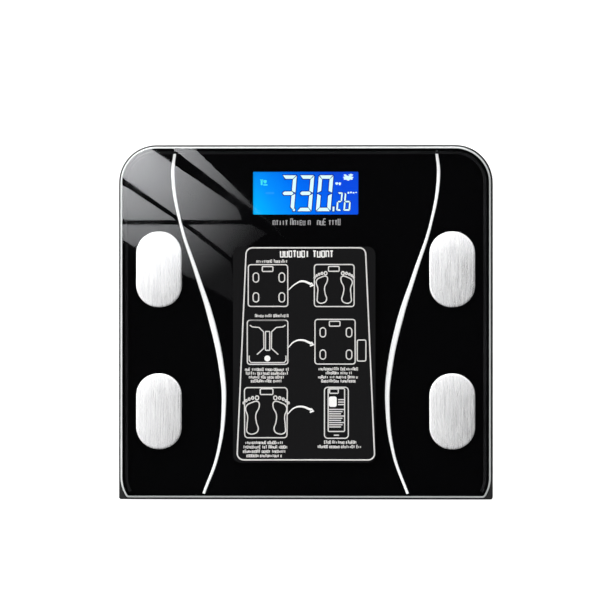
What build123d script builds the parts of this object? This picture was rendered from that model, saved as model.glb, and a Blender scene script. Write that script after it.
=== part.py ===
from build123d import *
import os
from math import tan, radians

# Glass platform bathroom scale with four electrodes and four load-cell feet.
# Millimetres. +X to the user's right, +Y towards the display end, +Z up.
# The origin is on the floor, under the middle of the body.

# ---------------------------------------------------------------- body plan
body_width = 260.0
body_depth = 246.4
rear_corner_r = 26.3          # display-end corners
front_corner_r = 1.5          # the tray is nearly square at the front
glass_inset = 1.3             # tray rim width seen round the glass
glass_corner_r = 25.0
glass_front_trim = 10.8       # how much of the front corner arcs the straight front edge cuts away
glass_gap = 0.2               # glass to rim
glass_tip_r = 2.0             # small round where the arc meets the front edge

# ------------------------------------------------------------------ heights
underside_z = 6.0             # tray stands this far off the floor on its feet
floor_t = 2.2
ledge_z = 20.0                # top of the ledge, ribs and posts that carry the glass
tape_t = 0.8
film_t = 0.2
glass_t = 5.0
rim_drop = 3.0                # rim lip below the glass top
rim_round = 0.9               # outer edge of the rim lip
glass_bevel = 1.2             # ground bevel round the top of the glass
glass_arris = 0.4             # small bevel underneath
electrode_t = 0.8
sticker_t = 0.12

floor_top = underside_z + floor_t
tape_top = ledge_z + tape_t
film_top = tape_top + film_t
glass_top = film_top + glass_t
lip_top = glass_top - rim_drop

# --------------------------------------------------------------------- tray
ledge_w = 1.0
ring_gap = 6.0                # pocket between outer wall and inner rib
rib_t = 1.6
web_pitch = 36.0
low_rib_h = 3.0
edge_round = 1.2
post_r = 4.0
boss_pilot_r = 1.25
groove_w = 1.4
groove_d = 0.5
groove_in = 8.0               # grooves inside the long ribs
groove_end_in = 22.0
groove_cross_y = 8.0
rib_from_foot = 32.0
rib_from_board = 28.0
rib_from_box = 28.0
front_rib_in = 5.0
join = 0.5                    # how far a rib runs into what it meets
film_inset = 0.3
tape_inset = 0.5
pad_inset = 0.4               # support pad inside its post

# --------------------------------------------------- electrodes, four places
electrode_w = 31.7
electrode_l = 52.5
electrode_side_inset = 28.1   # body side to electrode centre
electrode_rear_inset = 86.5
electrode_front_inset = 61.3
electrode_edge_r = 0.65
electrode_end_flat = 0.6      # half the straight stretch at each end
stud_r = 2.5
stud_hole_r = 3.0
stud_tail = 4.4               # below the film
terminal_t = 0.6
terminal_r = 4.6
terminal_neck = 6.0
terminal_gap = 0.2
barrel_r = 1.3
barrel_l = 5.0
nut_flats = 8.0
nut_t = 2.8
thread_gap = 0.05

# ------------------------------------------------------- feet and load cells
foot_side_inset = 38.0
foot_end_inset = 39.7
foot_r = 15.0
foot_gap = 0.6
foot_wall = 2.0
foot_base_t = 2.4
foot_bottom_z = 1.6
foot_top_z = 8.0
foot_post_r = 4.0
foot_round = 1.0
foot_vane_t = 1.2
pad_r = 12.5
pad_t = 2.4
pad_round = 0.8
pad_groove_out = 3.5          # ring groove for grip, from the pad edge
pad_groove_w = 1.5
pad_groove_d = 0.6
well_wall = 2.4
cell_seat_z = 11.2
cell_size = 34.0
cell_t = 1.6
cell_corner_r = 6.0
cell_slot_w = 2.0
cell_slot_size = 23.0
cell_neck = 10.0              # where the tongue stays joined to the rim
gauge_t = 0.3
gauge_l = 9.0
gauge_w = 6.0
gauge_out = 3.0
holder_wall = 2.6
holder_gap = 0.2
holder_h = 2.2
holder_opening = 25.0
holder_corner_r = 4.0
holder_lid_gap = 0.05
ear_reach = 23.0              # screw distance from the cell centre
ear_w = 8.0
screw_r = 1.2
screw_head_r = 2.6
screw_head_h = 1.6
screw_l = 8.0
screw_point = 1.2             # the tip that the pilot hole leaves out
screw_hole_gap = 0.3
screw_head_round = 0.7
cross_l = 2.8
cross_w = 0.6
cross_d = 0.7
pilot_floor = 1.2             # floor left under a pilot hole is at least this less

# ------------------------------------------------------- display and board
window_w = 73.2
window_h = 29.8
display_rear_inset = 33.5
window_corner_r = 0.8
panel_border = 2.6
panel_t = 2.0
panel_film_gap = 0.2
backlight_t = 3.0
backlight_end_gap = 0.3       # backlight inside the panel ends
backlight_side_gap = 4.0      # clear of the connectors
frame_wall = 1.5
frame_gap = 0.2
frame_drop = 0.2
frame_corner_r = 1.2
zebra_end_in = 1.6            # connectors inside the window ends
zebra_w = 2.0
zebra_edge = 1.5              # panel edge to connector centre
board_side = 9.2              # board past the bezel at each end
board_corner_r = 2.0
board_d = 61.0
board_t = 1.6
board_z = 12.0
board_ring_gap = 0.9
board_screw_in = 4.0
board_boss_r = 3.5
blob_r = 5.2
blob_t = 1.6
blob_round = 1.3
blob_x = -18.0
blob_in = 13.2                # board front edge to the dome
can_side_in = 9.5             # board end to the capacitors
led_gap = 1.6

# --------------------------------------------------------------- unit button
button_front_in = 10.0        # board front edge to the button centre
button_r = 4.5
button_round = 0.35
button_gap = 0.4
button_flange_r = 6.0
button_flange_t = 0.5
button_flange_gap = 0.15
button_proud = 0.4
button_travel = 0.3
switch_size = 6.0
switch_gap = 0.65             # flange top to switch body
plunger_r = 1.6
plunger_gap = 0.2
plunger_depth = 0.7
plunger_room = 0.7

# --------------------------------------------------------------- battery box
cell_d = 10.5                 # AAA cell
aaa_l = 44.5
nub_r = 1.9
nub_h = 1.0
can_round = 0.5
end_slack = 0.4               # battery play along its length
aaa_gap = 0.6
box_y = -36.0
box_wall = 1.6
box_roof = 1.2
box_clear = 0.3
plate_t = 0.4
plate_h = 8.0
plate_w = 8.5
spring_l = 4.6
spring_r_plate = 3.6
spring_r_cell = 2.2
spring_wire_r = 0.3
spring_turns = 4
contact_gap = 0.04
dimple_h = 0.7
dimple_r = 1.5

# -------------------------------------------------------------- battery door
door_t = 1.4
door_overlap = 1.7            # door past the opening, lengthways
door_depth_overlap = 3.6
door_tongue_w = 1.0
door_tongue_t = 0.5
door_side_gap = 0.3
door_roof_gap = 0.2
door_tongue_gap = 0.15
door_travel = 28.0
door_ridges = 5
ridge_h = 0.5
track_pad_t = 1.2
track_wall = 3.0
ridge_l = 18.0
ridge_w = 1.0
ridge_pitch = 2.2
ridge_in = 4.0
ridge_round = 0.3
tail_l = 2.0                  # contact tail outside the box
tail_w = 2.4
tail_t = 0.35
tail_drop = 0.55              # tail top under the lead's middle
tail_slot_gap = 0.4

# --------------------------------------------------------------------- leads
wire_r = 0.55
wire_bend_r = 17.2            # leads are laid no straighter into a bend than this
lead_run_in = 24.0            # foot centre to the leads beside it
lead_turn = 8.0               # the leads turn this far past the rear rib
lead_land_x = 30.0
lead_start = 6.0
guide_t = 1.2
guide_l = 3.0
guide_gap = 0.35
guide_over = 2.0
guide_places = (-10.0, 12.0)  # from the battery box
guide_rib_in = 14.0
wire_pitch = 1.7
load_wire_z = board_z + board_t + wire_r + 0.05
terminal_wire_z = tape_top - barrel_r

# ------------------------------------------------------------------- sticker
sticker_w = 99.0
sticker_l = 150.2
sticker_x = -0.9
sticker_y = -22.6
sticker_corner_r = 5.5

# ------------------------------------------------------------ worked-out places
half_w = body_width / 2
half_d = body_depth / 2
electrode_x = half_w - electrode_side_inset
electrode_rear_y = half_d - electrode_rear_inset
electrode_front_y = -half_d + electrode_front_inset
foot_x = half_w - foot_side_inset
foot_y = half_d - foot_end_inset
display_y = half_d - display_rear_inset
ring_out = ledge_w + ring_gap
ring_in = ring_out + rib_t
ring_front_y = -(half_d - glass_inset - ring_in)
ring_rear_y = -ring_front_y
board_rear = ring_rear_y - board_ring_gap
board_y = board_rear - board_d / 2
board_front = board_rear - board_d
board_top = board_z + board_t
button_y = board_front + button_front_in
rib_x = foot_x - rib_from_foot
rib_rear_y = board_front - rib_from_board
rib_front_y = box_y + rib_from_box
panel_top = tape_top - panel_film_gap
panel_z = panel_top - panel_t
backlight_z = panel_z - backlight_t
panel_w = window_w + 2 * panel_border
panel_h = window_h + 2 * panel_border
backlight_l = panel_w - 2 * backlight_end_gap
backlight_d = panel_h - 2 * backlight_side_gap
zebra_l = window_w - 2 * zebra_end_in
frame_w = panel_w + 2 * (frame_gap + frame_wall)
board_w = frame_w + 2 * board_side
holder_size = cell_size + 2 * (holder_gap + holder_wall)
holder_top = cell_seat_z + holder_h
box_inner_l = 2 * plate_t + spring_l + aaa_l + dimple_h + end_slack
box_inner_d = 2 * cell_d + 3 * aaa_gap
door_top = underside_z + door_t
aaa_bottom = door_top + box_clear
aaa_z = aaa_bottom + cell_d / 2
box_top = aaa_bottom + cell_d + box_clear
door_l = box_inner_l + 2 * door_overlap
door_d = box_inner_d + 2 * door_depth_overlap
flange_z = floor_top + button_flange_gap
flange_top = flange_z + button_flange_t
run_x = foot_x - lead_run_in

CORNERS = {
    "front_left": (-1, -1),
    "front_right": (1, -1),
    "rear_left": (-1, 1),
    "rear_right": (1, 1),
}


# =================================================================== helpers
def slab(sketch, z, height):
    """A flat outline raised from z by height."""
    return Pos(0, 0, z) * extrude(sketch, height)


def box_between(x0, x1, y0, y1, z0, z1):
    return Pos((x0 + x1) / 2, (y0 + y1) / 2, (z0 + z1) / 2) * Box(x1 - x0, y1 - y0, z1 - z0)


def rod(x, y, z, r, height):
    """Upright cylinder standing on z."""
    return Pos(x, y, z) * extrude(Circle(r), height)


def tube(x, y, z, r_out, r_in, height):
    return Pos(x, y, z) * extrude(Circle(r_out) - Circle(r_in), height)


def foot_place(corner):
    side, end = CORNERS[corner]
    return side * foot_x, end * foot_y


def electrode_place(corner):
    side, end = CORNERS[corner]
    return side * electrode_x, electrode_rear_y if end > 0 else electrode_front_y


def group(pieces):
    return Compound(children=[solid for piece in pieces for solid in piece.solids()])


def body_outline():
    sheet = Rectangle(body_width, body_depth)
    sheet = fillet(sheet.vertices().group_by(Axis.Y)[-1], rear_corner_r)
    return fillet(sheet.vertices().group_by(Axis.Y)[0], front_corner_r)


def glass_outline(grow=0.0):
    """Outline of the glass: four round corners, the front two cut short by a straight front edge."""
    side = half_w - glass_inset + grow
    end = half_d - glass_inset + grow
    full = end + glass_front_trim
    sheet = Pos(0, (end - full) / 2) * RectangleRounded(2 * side, end + full, glass_corner_r + grow)
    sheet = sheet & Rectangle(2 * side + 2, 2 * end)
    tips = sheet.vertices().group_by(Axis.Y)[0]
    return fillet(tips, glass_tip_r)


def arc_radii(points):
    """A tangent arc for each corner of a route: the usual bend, or less where a run is short."""
    points = [Vector(*p) for p in points]
    radii = []
    for before, at, after in zip(points, points[1:], points[2:]):
        turn = (at - before).get_angle(after - at)
        shorter = min((at - before).length, (after - at).length)
        radii.append(min(wire_bend_r, 0.45 * shorter) / tan(radians(turn / 2)))
    return radii


def wire(points, shift=(0, 0, 0)):
    """A round lead along straight runs joined by tangent arcs."""
    moved = [(x + shift[0], y + shift[1], z + shift[2]) for x, y, z in points]
    radii = arc_radii(moved)
    path = FilletPolyline(*moved, radius=radii) if radii else Line(*moved)
    start = Plane(origin=path @ 0, z_dir=path % 0)
    return sweep(start * Circle(wire_r), path=path.wire())


# ====================================================================== tray
def tray_shell():
    """Outer wall, rim lip and floor, with the pocket for the glass."""
    shell = slab(body_outline(), underside_z, lip_top - underside_z)
    shell = fillet(shell.edges().group_by(Axis.Z)[0], edge_round)
    shell = fillet(shell.edges().group_by(Axis.Z)[-1], rim_round)
    shell -= slab(glass_outline(glass_gap), ledge_z, lip_top - ledge_z + 1)
    return shell - slab(glass_outline(-ledge_w), floor_top, ledge_z - floor_top + 1)


def tray_ring():
    """Inner rib parallel to the wall, tied to it by webs: together they carry the foam tape."""
    height = ledge_z - floor_top
    ring = slab(glass_outline(-ring_out) - glass_outline(-ring_in), floor_top, height)
    side = half_w - glass_inset - ledge_w
    end = half_d - glass_inset - ledge_w
    webs = []
    for k in range(-2, 3):
        y = k * web_pitch
        x = k * web_pitch
        for s in (-1, 1):
            middle = floor_top + height / 2
            webs.append(Pos(s * (side - ring_gap / 2), y, middle) * Box(ring_gap + 2 * join, rib_t, height))
            webs.append(Pos(x, s * (end - ring_gap / 2), middle) * Box(rib_t, ring_gap + 2 * join, height))
    return ring + webs


def tray_ribs():
    """Low stiffening ribs on the floor, with posts where the glass needs support."""
    top = floor_top + low_rib_h
    side = half_w - glass_inset - ring_in + join
    end = ring_rear_y + join
    half_t = rib_t / 2
    ribs = [box_between(s * rib_x - half_t, s * rib_x + half_t, -end, end, floor_top, top) for s in (-1, 1)]
    for y in (rib_front_y, rib_rear_y, ring_front_y + rib_t + front_rib_in):
        ribs.append(box_between(-side, side, y - half_t, y + half_t, floor_top, top))
    for x, y in post_places():
        ribs.append(rod(x, y, floor_top, post_r, ledge_z - floor_top))
    return ribs


def post_places():
    return [(-rib_x, rib_front_y), (rib_x, rib_front_y), (0, rib_rear_y)]


def tray_foot_well(corner):
    """Ring that the load cell sits on, with two screw bosses for its holder."""
    x, y = foot_place(corner)
    inner = foot_r + foot_gap
    height = cell_seat_z - floor_top
    bosses = [rod(x, y + s * ear_reach, floor_top, ear_w / 2, height) for s in (-1, 1)]
    return [rod(x, y, floor_top, inner + well_wall, height)] + bosses


def tray_foot_cuts(corner):
    x, y = foot_place(corner)
    pilot = max(holder_top - screw_l - screw_hole_gap, floor_top - pilot_floor)
    depth = cell_seat_z - pilot + 1
    cuts = [rod(x, y, underside_z - 1, foot_r + foot_gap, cell_seat_z - underside_z + 2)]
    return cuts + [rod(x, y + s * ear_reach, pilot, boss_pilot_r, depth) for s in (-1, 1)]


def board_screw_places():
    x = board_w / 2 - board_screw_in
    return [(sx * x, board_y + sy * (board_d / 2 - board_screw_in)) for sx in (-1, 1) for sy in (-1, 1)]


def battery_box():
    """Walls and roof of the battery box, and the thicker floor that holds the door track."""
    half_l = box_inner_l / 2 + box_wall
    half_b = box_inner_d / 2 + box_wall
    track_half = door_l / 2 + door_tongue_w + track_wall
    rear = box_y + door_d / 2 + track_wall
    front = box_y - door_d / 2 - door_travel - track_wall
    body = box_between(-half_l, half_l, box_y - half_b, box_y + half_b, floor_top, box_top + box_roof)
    return [body, box_between(-track_half, track_half, front, rear, floor_top - join, floor_top + track_pad_t)]


def battery_cuts():
    """The hollow for the two cells, the T-shaped door track and the slots for the contact tails."""
    half_l = box_inner_l / 2
    half_b = box_inner_d / 2
    rear = box_y + door_d / 2 + door_side_gap
    front = box_y - door_d / 2 - door_travel - door_side_gap
    track = door_l / 2 + door_side_gap
    tongue = door_l / 2 + door_tongue_w + door_side_gap
    roof = door_top + door_roof_gap
    step = door_top - door_tongue_t - door_tongue_gap
    cuts = [
        box_between(-half_l, half_l, box_y - half_b, box_y + half_b, underside_z - 1, box_top),
        box_between(-track, track, front, rear, underside_z - 1, roof),
        box_between(-tongue, tongue, front, rear, step, roof),
    ]
    reach = tail_w / 2 + tail_slot_gap
    low = load_wire_z - tail_drop - tail_t - tail_slot_gap
    high = load_wire_z + wire_r + tail_slot_gap
    for s in (-1, 1):
        y = cell_lane(s)
        cuts.append(box_between(-half_l - box_wall - 1, -half_l + join, y - reach, y + reach, low, high))
    return cuts


def lead_guides():
    """Pairs of small posts that hold the load-cell leads in line."""
    guides = []
    reach = wire_pitch + wire_r + guide_gap + guide_t / 2
    height = load_wire_z + guide_over - floor_top
    places = [box_y + along for along in guide_places] + [rib_rear_y - guide_rib_in]
    for s in (-1, 1):
        for y in places:
            for side in (-1, 1):
                post = Box(guide_t, guide_l, height)
                guides.append(Pos(s * run_x + side * reach, y, floor_top + height / 2) * post)
    return guides


def underside_grooves():
    """Shallow decorative lines that divide the underside into panels."""
    x = rib_x - groove_in
    end = half_d - groove_end_in
    half = groove_w / 2
    z0 = underside_z - 1
    z1 = underside_z + groove_d
    grooves = [box_between(s * x - half, s * x + half, -end, end, z0, z1) for s in (-1, 1)]
    grooves.append(box_between(-x, x, groove_cross_y - half, groove_cross_y + half, z0, z1))
    return grooves


def make_base_tray():
    tray = tray_shell() + tray_ring() + tray_ribs() + battery_box() + lead_guides()
    for corner in CORNERS:
        tray += tray_foot_well(corner)
    for x, y in board_screw_places():
        tray += rod(x, y, floor_top, board_boss_r, board_z - floor_top)
    cuts = battery_cuts() + underside_grooves()
    for corner in CORNERS:
        cuts += tray_foot_cuts(corner)
    for x, y in board_screw_places():
        cuts.append(rod(x, y, floor_top - pilot_floor, boss_pilot_r, board_z - floor_top + 2))
    cuts.append(rod(0, button_y, underside_z - 1, button_r + button_gap, floor_t + 2))
    return tray - cuts


# ========================================================= glass and its seal
def stud_holes(r, z, height):
    return [rod(*electrode_place(corner), z, r, height) for corner in CORNERS]


def make_glass():
    plate = slab(glass_outline(), film_top, glass_t)
    plate = chamfer(plate.edges().group_by(Axis.Z)[-1], glass_bevel)
    plate = chamfer(plate.edges().group_by(Axis.Z)[0], glass_arris)
    return plate - stud_holes(stud_hole_r, film_top - 1, glass_t + 2)


def make_film():
    film = slab(glass_outline(-film_inset), tape_top, film_t)
    window = Pos(0, display_y) * RectangleRounded(window_w, window_h, window_corner_r)
    film -= slab(window, tape_top - 1, film_t + 2)
    return film - stud_holes(stud_hole_r + film_inset, tape_top - 1, film_t + 2)


def make_seal_tape():
    return slab(glass_outline(-tape_inset) - glass_outline(-ring_in), ledge_z, tape_t)


def make_support_pads():
    pads = [rod(x, y, ledge_z, post_r - pad_inset, tape_t) for x, y in post_places()]
    return group(pads)


def make_sticker():
    outline = Pos(sticker_x, sticker_y) * RectangleRounded(sticker_w, sticker_l, sticker_corner_r)
    return slab(outline, glass_top, sticker_t)


# ================================================================ electrodes
def make_electrode(corner):
    x, y = electrode_place(corner)
    outline = Pos(x, y) * RectangleRounded(electrode_w, electrode_l, electrode_w / 2 - electrode_end_flat)
    plate = slab(outline, glass_top, electrode_t)
    return fillet(plate.edges().group_by(Axis.Z)[-1], electrode_edge_r)


def make_studs():
    tail = tape_top - stud_tail
    return group([rod(*electrode_place(corner), tail, stud_r, glass_top - tail) for corner in CORNERS])


def make_terminal(corner):
    """Ring terminal with a crimp barrel that points to the middle of the scale."""
    x, y = electrode_place(corner)
    side = CORNERS[corner][0]
    end = terminal_neck + barrel_l
    z = tape_top - terminal_t
    ring = rod(0, 0, z, terminal_r, terminal_t)
    neck = box_between(-terminal_neck - join, -stud_r, -barrel_r, barrel_r, z, tape_top)
    barrel = Plane(origin=(-end, 0, terminal_wire_z), z_dir=(1, 0, 0)) * Circle(barrel_r)
    body = ring + neck + extrude(barrel, barrel_l)
    bore = Plane(origin=(-end, 0, terminal_wire_z), z_dir=(1, 0, 0)) * Circle(wire_r + thread_gap)
    body -= extrude(bore, barrel_l - 1)
    body -= rod(0, 0, z - 1, stud_r + terminal_gap, terminal_t + 2)
    return Pos(x, y, 0) * (body if side > 0 else mirror(body, about=Plane.YZ))


def make_nut(corner):
    x, y = electrode_place(corner)
    outline = RegularPolygon(nut_flats / 2, 6, major_radius=False) - Circle(stud_r + thread_gap)
    return Pos(x, y, tape_top - terminal_t - nut_t) * extrude(outline, nut_t)


# ======================================================= load cells and feet
def make_load_cell(corner):
    """Steel plate with a tongue cut free on three sides; the foot pushes the tongue up."""
    x, y = foot_place(corner)
    side = CORNERS[corner][0]
    s = cell_slot_size / 2
    plate = RectangleRounded(cell_size, cell_size, cell_corner_r)
    slot = Rectangle(2 * s, 2 * s) - Rectangle(2 * s - 2 * cell_slot_w, 2 * s - 2 * cell_slot_w)
    slot -= Pos(s, 0) * Rectangle(2 * cell_slot_w + 2, cell_neck)
    plate = plate - slot
    cell = extrude(plate, cell_t)
    return Pos(x, y, cell_seat_z) * (cell if side > 0 else mirror(cell, about=Plane.YZ))


def make_strain_gauges():
    gauges = []
    for corner in CORNERS:
        x, y = foot_place(corner)
        side = CORNERS[corner][0]
        middle = cell_seat_z + cell_t + gauge_t / 2
        gauges.append(Pos(x + side * gauge_out, y, middle) * Box(gauge_l, gauge_w, gauge_t))
    return group(gauges)


def make_cell_holder(corner):
    """Plastic ring that clamps the rim of the load cell, with two screw ears."""
    x, y = foot_place(corner)
    ears = [Pos(0, s * ear_reach) * Circle(ear_w / 2) for s in (-1, 1)]
    ears.append(Rectangle(ear_w, 2 * ear_reach))
    outline = RectangleRounded(holder_size, holder_size, holder_corner_r) + ears
    ring = extrude(outline - Rectangle(holder_opening, holder_opening), holder_h)
    seat = RectangleRounded(cell_size + 2 * holder_gap, cell_size + 2 * holder_gap, cell_corner_r)
    ring -= Pos(0, 0, -1) * extrude(seat, 1 + cell_t + holder_lid_gap)
    ring -= [rod(0, s * ear_reach, -1, screw_r + screw_hole_gap, holder_h + 2) for s in (-1, 1)]
    return Pos(x, y, cell_seat_z) * ring


def make_screw(x, y, seat_z):
    """Pan-head screw with a cross recess."""
    head = rod(x, y, seat_z, screw_head_r, screw_head_h)
    head = fillet(head.edges().group_by(Axis.Z)[-1], screw_head_round)
    slots = [Box(cross_l, cross_w, 2 * cross_d), Box(cross_w, cross_l, 2 * cross_d)]
    shank = screw_l - screw_head_h - screw_point
    cross = [Pos(x, y, seat_z + screw_head_h) * slot for slot in slots]
    return head + rod(x, y, seat_z - shank, screw_r, shank) - cross


def make_cell_screws():
    screws = []
    for corner in CORNERS:
        x, y = foot_place(corner)
        screws += [make_screw(x, y + s * ear_reach, holder_top) for s in (-1, 1)]
    return group(screws)


def make_foot(corner):
    """Cup-shaped foot whose middle post bears on the load-cell tongue."""
    x, y = foot_place(corner)
    cup = rod(0, 0, foot_bottom_z, foot_r, foot_top_z - foot_bottom_z)
    cup = fillet(cup.edges().group_by(Axis.Z)[0], foot_round)
    cup -= rod(0, 0, foot_bottom_z + foot_base_t, foot_r - foot_wall, foot_top_z)
    cup += rod(0, 0, foot_bottom_z + join, foot_post_r, cell_seat_z - foot_bottom_z - join)
    vane = box_between(0, foot_r - 1, -foot_vane_t / 2, foot_vane_t / 2, foot_bottom_z + 1, foot_top_z - 1)
    cup += [Rot(0, 0, angle) * vane for angle in (45, 135, 225, 315)]
    cup -= rod(0, 0, foot_bottom_z - 1, pad_r, 1 + pad_t - foot_bottom_z)
    return Pos(x, y, 0) * cup


def make_foot_pad(corner):
    """Rubber pad let into the foot, with a ring groove for grip."""
    x, y = foot_place(corner)
    pad = rod(0, 0, 0, pad_r, pad_t)
    pad = fillet(pad.edges().group_by(Axis.Z)[0], pad_round)
    groove_r = pad_r - pad_groove_out
    pad -= tube(0, 0, -1, groove_r, groove_r - pad_groove_w, 1 + pad_groove_d)
    return Pos(x, y, 0) * pad


# ============================================================ display, board
def make_lcd_panel():
    outline = Pos(0, display_y) * Rectangle(panel_w, panel_h)
    return slab(outline, panel_z, panel_t)


def make_backlight():
    outline = Pos(0, display_y) * Rectangle(backlight_l, backlight_d)
    return slab(outline, backlight_z, backlight_t)


def make_lcd_frame():
    """Bezel round the panel, with a shelf under the backlight."""
    inner = Rectangle(panel_w + 2 * frame_gap, panel_h + 2 * frame_gap)
    outer = RectangleRounded(frame_w, panel_h + 2 * (frame_gap + frame_wall), frame_corner_r)
    wall = slab(Pos(0, display_y) * (outer - inner), board_top, panel_top - frame_drop - board_top)
    rest = Pos(0, display_y) * Rectangle(panel_w + 2 * frame_gap + 2 * join, backlight_d)
    shelf = slab(rest, board_top, backlight_z - board_top)
    return wall + shelf


def make_lcd_connectors():
    """Two zebra strips between the board and the contact edges of the panel."""
    offset = panel_h / 2 - zebra_edge
    strips = []
    for s in (-1, 1):
        y = display_y + s * offset
        strips.append(Pos(0, y, (board_top + panel_z) / 2) * Box(zebra_l, zebra_w, panel_z - board_top))
    return group(strips)


def make_main_board():
    outline = Pos(0, board_y) * RectangleRounded(board_w, board_d, board_corner_r)
    board = slab(outline, board_z, board_t)
    hole_r = screw_r + screw_hole_gap
    return board - [rod(x, y, board_z - 1, hole_r, board_t + 2) for x, y in board_screw_places()]


def make_board_screws():
    return group([make_screw(x, y, board_top) for x, y in board_screw_places()])


def make_controller_blob():
    """Epoxy dome over the bare controller chip."""
    blob = rod(blob_x, board_front + blob_in, board_top, blob_r, blob_t)
    return fillet(blob.edges().group_by(Axis.Z)[-1], blob_round)


def make_board_components():
    """Crystal can, two electrolytic capacitors, a row of chip resistors and the two backlight LEDs."""
    y = button_y + 3.0
    can_x = board_w / 2 - can_side_in
    parts = [rod(s * can_x, y, board_top, 2.5, 5.2) for s in (-1, 1)]
    parts = [fillet(part.edges().group_by(Axis.Z)[-1], 0.4) for part in parts]
    parts.append(Pos(4.0, button_y, board_top + 1.25) * Box(10.0, 4.0, 2.5))
    parts += [Pos(-4.0 + 3.2 * k, button_y + 6.5, board_top + 0.3) * Box(2.0, 1.2, 0.6) for k in range(7)]
    led_x = frame_w / 2 + led_gap
    parts += [Pos(s * led_x, display_y, board_top + 0.9) * Box(1.8, 3.2, 1.8) for s in (-1, 1)]
    return group(parts)


# ================================================================ unit button
def make_unit_button():
    """Cap that shows on the underside, kept in by its flange."""
    cap = rod(0, button_y, underside_z - button_proud, button_r, flange_z - underside_z + button_proud)
    cap = fillet(cap.edges().group_by(Axis.Z)[0], button_round)
    return cap + rod(0, button_y, flange_z, button_flange_r, button_flange_t)


def make_switch_housing():
    z = flange_top + switch_gap
    half = switch_size / 2
    body = box_between(-half, half, button_y - half, button_y + half, z, board_z)
    well = plunger_depth + plunger_room
    return body - rod(0, button_y, z - 1, plunger_r + plunger_gap, 1 + well)


def make_switch_plunger():
    return rod(0, button_y, flange_top, plunger_r, switch_gap + plunger_depth)


# ================================================================ battery box
def cell_lane(s):
    """Y of the rear (+1) or front (-1) battery."""
    return box_y + s * (cell_d + aaa_gap) / 2


def make_battery(s):
    """AAA cell. The rear one has its positive end to the right, the front one to the left."""
    x0 = -box_inner_l / 2 + plate_t + spring_l
    axis = Plane(origin=(0, 0, 0), z_dir=(1, 0, 0))
    can = extrude(axis * Circle(cell_d / 2), aaa_l - nub_h)
    can = fillet(can.edges(), can_round)
    nub = extrude(Plane(origin=(aaa_l - nub_h - join, 0, 0), z_dir=(1, 0, 0)) * Circle(nub_r), nub_h + join)
    cell = Pos(x0, 0, 0) * (can + nub)
    cell = cell if s > 0 else mirror(cell, about=Plane.YZ)
    return Pos(0, cell_lane(s), aaa_z) * cell


def make_spring(s):
    """Conical contact spring, wound as half turns that rise towards the battery."""
    reach = spring_l - 2 * (spring_wire_r + contact_gap)
    steps = 2 * spring_turns
    radius = [spring_r_plate + (spring_r_cell - spring_r_plate) * k / steps for k in range(steps + 1)]
    ends = [Vector((-1) ** k * radius[k], 0, reach * k / steps) for k in range(steps + 1)]
    turns = []
    for k in range(steps):
        middle = (ends[k] + ends[k + 1]) * 0.5
        half = (ends[k + 1] - ends[k]).length / 2
        turns.append(ThreePointArc(ends[k], middle + Vector(0, (-1) ** k * half, 0), ends[k + 1]))
    path = Wire([turn.edge() for turn in turns])
    coil = sweep(Plane(origin=path @ 0, z_dir=path % 0) * Circle(spring_wire_r), path=path)
    x = box_inner_l / 2 - plate_t - spring_wire_r - contact_gap
    coil = Rot(0, 90, 0) * coil
    coil = Pos(-x, 0, 0) * coil
    coil = coil if s > 0 else mirror(coil, about=Plane.YZ)
    return Pos(0, cell_lane(s), aaa_z) * coil


def make_battery_contacts():
    """Two end plates with tails on the left and one bridging plate on the right."""
    half_l = box_inner_l / 2
    z0 = aaa_z - plate_h / 2
    z1 = aaa_z + plate_h / 2
    plates = []
    for s in (-1, 1):
        y = cell_lane(s)
        plate = box_between(-half_l, -half_l + plate_t, y - plate_w / 2, y + plate_w / 2, z0, z1)
        low = load_wire_z - tail_drop - tail_t
        tail_end = -half_l - box_wall - tail_l
        tail = box_between(tail_end, -half_l + plate_t, y - tail_w / 2, y + tail_w / 2, low, low + tail_t)
        plates.append(plate + tail)
    lane = cell_lane(1) - box_y + plate_w / 2
    plates.append(box_between(half_l - plate_t, half_l, box_y - lane, box_y + lane, z0, z1))
    dimple = Rot(0, 90, 0) * extrude(Circle(dimple_r), dimple_h)
    plates[-1] += Pos(half_l - plate_t - dimple_h, cell_lane(1), aaa_z) * dimple
    plates[0] += Pos(-half_l + plate_t, cell_lane(-1), aaa_z) * dimple
    return group(plates)


def make_battery_door():
    """Sliding cover with side tongues and grip ridges."""
    x = door_l / 2
    y0 = box_y - door_d / 2
    y1 = box_y + door_d / 2
    door = box_between(-x, x, y0, y1, underside_z, door_top)
    door += box_between(-x - door_tongue_w, x + door_tongue_w, y0, y1, door_top - door_tongue_t, door_top)
    for k in range(door_ridges):
        y = y0 + ridge_in + ridge_pitch * k
        ridge = Pos(0, y, underside_z) * Box(ridge_l, ridge_w, 2 * ridge_h)
        door += fillet(ridge.edges().filter_by(Axis.X).group_by(Axis.Z)[0], ridge_round)
    return door


# ===================================================================== leads
def make_load_cell_leads(corner):
    """Three parallel leads from the strain gauge to the board."""
    side, end = CORNERS[corner]
    x, y = foot_place(corner)
    z = load_wire_z
    route = [(x * side - lead_start, y, z), (run_x, y, z)]
    if end < 0:
        turn_y = rib_rear_y + lead_turn
        route += [(run_x, turn_y, z), (lead_land_x, turn_y, z), (lead_land_x, board_front + 4, z)]
        step = (wire_pitch, wire_pitch, 0)
    else:
        route += [(rib_x, y - 6, z), (board_w / 2 - 3, y - 6, z)]
        step = (0, wire_pitch, 0)
    tubes = []
    for k in (-1, 0, 1):
        lead = wire(route, (k * step[0], k * step[1], 0))
        tubes.append(lead if side > 0 else mirror(lead, about=Plane.YZ))
    return group(tubes)


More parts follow.
